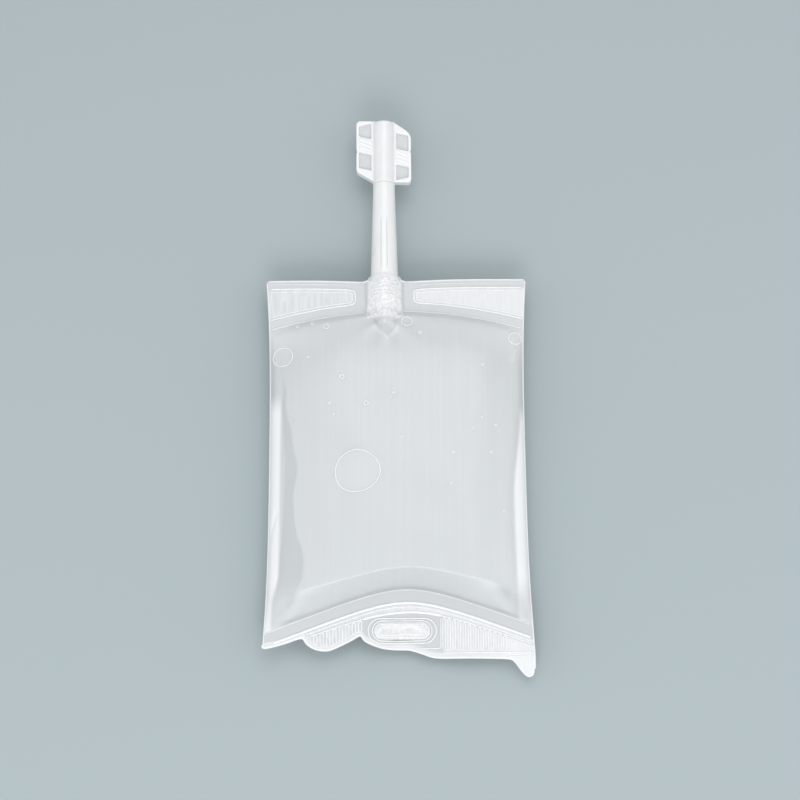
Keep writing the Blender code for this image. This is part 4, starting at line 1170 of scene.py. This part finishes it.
def buildPort():
    base, neck, bore, reach = fit["baseRadius"], fit["neckRadius"], fit["boreRadius"], fit["reach"]
    deep = reach - fit["membraneDepth"]
    profile = [(0.0, deep), (bore - 0.0004, deep), (bore, deep + 0.0004), (bore, deep + 0.008),
               (bore, reach - 0.0003), (bore + 0.0002, reach - 0.0001), (bore + 0.00035, reach),
               (neck - 0.0002, reach), (neck - 0.00005, reach - 0.0001), (neck, reach - 0.0003)]
    top, low = reach - fit["lip"], fit["standOut"] + fit["collar"]
    for share in np.linspace(0, 1, 26):
        profile.append((neck + (base - neck) * share, top + (low - top) * share))
    for turn in np.linspace(0.1, 1, 9):     # the collar flares out towards the film
        profile.append((base + fit["flange"] * (1 - math.cos(turn * math.pi / 2)), low * (1 - turn)))
    profile += [(base + fit["flange"], -0.0004), (base, -0.003),
                (base, -0.5 * fit["insertion"]), (bore, -0.5 * fit["insertion"]),
                (bore, deep - fit["membrane"] - 0.0004), (bore - 0.0004, deep - fit["membrane"]),
                (0.0, deep - fit["membrane"])]
    port = turned("portTube", profile, 180)
    foot = Ridges(None)
    rings = []
    pitch = (fit["insertion"] + fit["standOut"]) / (2 * fit["boatRibs"] + 1)
    for number in range(2 * fit["boatRibs"] + 1):
        scale = 1.0 if number % 2 == 0 else 1 - fit["boatRibDepth"] / fit["baseRadius"]
        for flank in (0.08, 0.16, 0.84, 0.92):
            y = -fit["insertion"] + pitch * (number + flank)
            soft = 0.00006 if flank in (0.08, 0.92) and number % 2 == 0 else 0.0
            rings.append(boatSection(y, scale - soft / fit["baseRadius"]))
    foot.join([ring[::-1] for ring in rings])
    combine(port, addMesh("portFoot", foot.points, foot.faces), "UNION")
    hole = turned("portHole", [(0.0, deep - fit["membrane"]), (bore, deep - fit["membrane"]),
                               (bore, -2 * fit["insertion"]), (0.0, -2 * fit["insertion"])])
    combine(port, hole, "DIFFERENCE")
    places = vertexPlaces(port)
    lines = flutes(places, low, reach - cap["plugLength"])
    places[:, ::2] *= (1 - lines * fit["fluteDepth"] / base)[:, None]
    moveVertices(port, places)
    # the tube is dented along its mould lines, and these are also painted in shade
    setZone(port, "fluteShade", lines)
    addGussets(port)
    settle(port, bag["edgeY"])
    only(port)
    bpy.ops.object.shade_smooth_by_angle(angle=math.radians(35))
    port.data.materials.clear()
    port.data.materials.append(cloudyFinish("portPlastic").material)
    print("port:", len(port.data.polygons), "faces")
    return port


def windowCorners():
    outer, inner = cap["width"] / 2 - cap["rim"], cap["column"] / 2 + cap["rim"] / 2
    top, low = cap["length"] - cap["rim"], cap["slope"] + cap["windowFoot"]
    barTop, barLow = cap["length"] / 2 + cap["bar"], cap["length"] / 2 - cap["tilt"]
    tilt = cap["tilt"]
    return (((-outer, top - tilt), (-inner, top), (-inner, barTop - tilt), (-outer, barTop)),
            ((-outer, barLow + tilt), (-inner, barLow), (-inner, low - tilt), (-outer, low)))


def turnedAbout(points, turn):  # half a turn about the head's middle
    middle = cap["length"] / 2
    return [(turn * x, middle + turn * (y - middle)) for x, y in points]


def roundedCorners(corners, radius):
    line = []
    for before, corner, after in zip(corners[-1:] + corners[:-1], corners, corners[1:] + corners[:1]):
        corner, before, after = Vector(corner), Vector(before), Vector(after)
        start = corner + (before - corner).normalized() * radius
        end = corner + (after - corner).normalized() * radius
        for t in (0.0, 0.25, 0.5, 0.75, 1.0):
            line.append(tuple(start * (1 - t) ** 2 + corner * 2 * t * (1 - t) + end * t ** 2))
    return line


def buildCap():
    half, middle, length = cap["width"] / 2, cap["length"] / 2, cap["length"]
    wing = [(-half + cap["corner"], length), (-half + 0.0004, length - 0.0004), (-half, length - cap["corner"]),
            (-half, middle + cap["notchLength"] / 2), (-half + cap["notch"], middle),
            (-half, middle - cap["notchLength"] / 2), (-half, cap["slope"] + 0.0005),
            (-half + 0.0004, cap["slope"] - 0.0004), (-cap["column"] * cap["root"], fit["gap"])]
    worn = [(-half, cap["slope"] + 0.0024), (-half + 0.00025, cap["slope"] + 0.0011),
            (-half + 0.0009, cap["slope"] + 0.0001), (-half + 0.0018, cap["slope"] - 0.0008)]
    outline = wing + turnedAbout(wing[:-3] + worn + wing[-1:], -1)
    head = slab("twistCap", outline, -cap["thickness"] / 2, cap["thickness"] / 2)
    plug, column = cap["plugRadius"], cap["column"] / 2
    low = cap["seam"] - fit["gap"]
    profile = [(column * math.sin(t), length - cap["dome"] * (1 - math.cos(t)))
               for t in np.linspace(0, math.pi / 2, 9)]
    profile += [(column, low), (plug, low)]
    for step in range(9):
        angle = math.pi / 2 * step / 9
        profile.append((plug * math.cos(angle), -cap["plugLength"] + plug * (1 - math.sin(angle))))
    profile.append((0.0, -cap["plugLength"]))
    combine(head, turned("capColumn", profile), "UNION")
    for corners in windowCorners():
        for turn in (1, -1):
            outline = roundedCorners(turnedAbout(corners, turn), 0.0005)
            for face in (1, -1):
                low, high = sorted((face * cap["web"] / 2, face * cap["thickness"]))
                combine(head, slab("window", outline, low, high), "DIFFERENCE")
    outer, inner = -half + 1.5 * cap["rim"], -cap["column"] / 2 - cap["rim"] / 2
    fall, wide = cap["ridgeSlant"] * (inner - outer) / 2, cap["ridgeWidth"] / 2
    for number in range(cap["ridges"]):
        along = middle + (cap["bar"] - cap["tilt"]) / 2 + (number - (cap["ridges"] - 1) / 2) * cap["ridgePitch"]
        corners = [(outer, along + fall + wide), (outer, along + fall - wide),
                   (inner, along - fall - wide), (inner, along - fall + wide)]
        for turn in (1, -1):
            reach = cap["thickness"] / 2 + cap["ridgeHeight"]
            combine(head, slab("ridge", turnedAbout(corners, turn), -reach, reach), "UNION")
    applied(head, "REMESH", mode="VOXEL", voxel_size=cap["voxel"], use_smooth_shade=True)
    applied(head, "SMOOTH", factor=0.5, iterations=5)
    places = vertexPlaces(head)
    web = np.zeros(len(places))
    for corners in windowCorners():
        for turn in (1, -1):
            outline = np.array(turnedAbout(corners, turn))
            apart = np.full(len(places), 1.0)
            for first, second in zip(outline, np.roll(outline, -1, axis=0)):
                dx, dy = (second - first) / np.linalg.norm(second - first)
                apart = np.minimum(apart, dy * (places[:, 0] - first[0]) - dx * (places[:, 1] - first[1]))
            web = np.maximum(web, smoothStep(apart / 0.0003))
    setZone(head, "web", web * (np.abs(places[:, 2]) < cap["web"] * 0.75))
    setZone(head, "edge", convexEdges(head))
    settle(head, cap["baseY"])
    head.data.materials.clear()
    head.data.materials.append(cloudyFinish("capPlastic").material)
    print("cap:", len(head.data.polygons), "faces")
    return head


def convexEdges(piece):        # 1 on outward edges, 0 on flat or hollow places; it places the painted edge highlight
    places = vertexPlaces(piece)
    normals = np.zeros(len(places) * 3)
    piece.data.vertices.foreach_get("normal", normals)
    edges = np.zeros(len(piece.data.edges) * 2, int)
    piece.data.edges.foreach_get("vertices", edges)
    first, second = edges.reshape(-1, 2).T
    around = np.zeros_like(places)
    count = np.zeros(len(places))
    for near, far in ((first, second), (second, first)):
        np.add.at(around, near, places[far])
        np.add.at(count, near, 1)
    sunk = np.sum((around / count[:, None] - places) * normals.reshape(-1, 3), axis=1)
    return smoothStep((-sunk - cap["edgeLow"]) / (cap["edgeHigh"] - cap["edgeLow"]))


filmPiece, ridgePiece, rimPiece = buildFilm()
flapPiece, flapLines = buildFlap()
fluidPiece = buildLiquid()
portPiece = buildPort()
capPiece = buildCap()
for piece in (filmPiece, ridgePiece, rimPiece, flapPiece, flapLines, fluidPiece, portPiece):
    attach(piece, "bag")
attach(capPiece, "cap")
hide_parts("bag_film")
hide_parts("solution")
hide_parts("port")
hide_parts("twist_off_cap")


# Floor, light and camera

stage = {
    "floor": (0.400, 0.462, 0.480),
    "world": (0.840, 0.850, 0.860),
    "worldStrength": 0.72,
    "key": {"place": (0.06, 0.35, 0.75), "size": (0.60, 0.50), "power": 1.7},
    "front": {"place": (0.0, -0.55, 0.45), "size": (0.50, 0.30), "power": 1.8},
    "left": {"place": (-0.45, -0.02, 0.24), "size": (0.30, 0.60), "power": 0.42},
    "right": {"place": (0.45, -0.04, 0.24), "size": (0.30, 0.60), "power": 0.42},
    "aim": (0.00105, -0.00446, 0.009),
    "tilt": 14.0,
    "distance": 0.520,
    "viewWidth": 0.2715,
    "roll": 0.45,
}


def floorFinish():
    finish = Finish("paleFloor")
    cloud = finish.noise(3.0, detail=2.0)
    shade = finish.blend(cloud * 0.25, stage["floor"], tuple(0.92 * c for c in stage["floor"]))
    finish.set(Base_Color=shade, Roughness=0.85)
    return finish


bpy.ops.object.select_all(action="DESELECT")
bpy.ops.mesh.primitive_plane_add(size=6.0, location=(0, 0, 0))
floor = bpy.context.object
floor.name = "floor"
floor.data.materials.append(floorFinish().material)

world = bpy.data.worlds.new("studio")
bpy.context.scene.world = world
world.use_nodes = True
backdrop = world.node_tree.nodes["Background"]
backdrop.inputs["Color"].default_value = (*stage["world"], 1.0)
backdrop.inputs["Strength"].default_value = stage["worldStrength"]

for name in ("key", "front", "left", "right"):
    values = stage[name]
    lamp = bpy.data.lights.new(name + "Softbox", "AREA")
    lamp.shape = "RECTANGLE"
    lamp.size, lamp.size_y = values["size"]
    lamp.energy = values["power"]
    holder = bpy.data.objects.new(name + "Softbox", lamp)
    bpy.context.scene.collection.objects.link(holder)
    holder.location = values["place"]
    holder.rotation_euler = (Vector((0, 0, 0.01)) - Vector(values["place"])).to_track_quat("-Z", "Y").to_euler()

tilt = math.radians(stage["tilt"])
lens = bpy.data.cameras.new("photoView")
lens.sensor_width = 36.0
lens.lens = lens.sensor_width * stage["distance"] / stage["viewWidth"]
lens.clip_start = 0.01
viewer = bpy.data.objects.new("photoView", lens)
bpy.context.scene.collection.objects.link(viewer)
back = Vector((0, -math.sin(tilt), math.cos(tilt)))
viewer.location = Vector(stage["aim"]) + back * stage["distance"]
viewer.rotation_euler = (tilt, 0.0, 0.0)
viewer.rotation_euler.rotate_axis("Z", math.radians(-stage["roll"]))
bpy.context.scene.camera = viewer
bpy.context.scene.view_settings.view_transform = "Standard"

bpy.context.view_layer.update()
print("stage set")
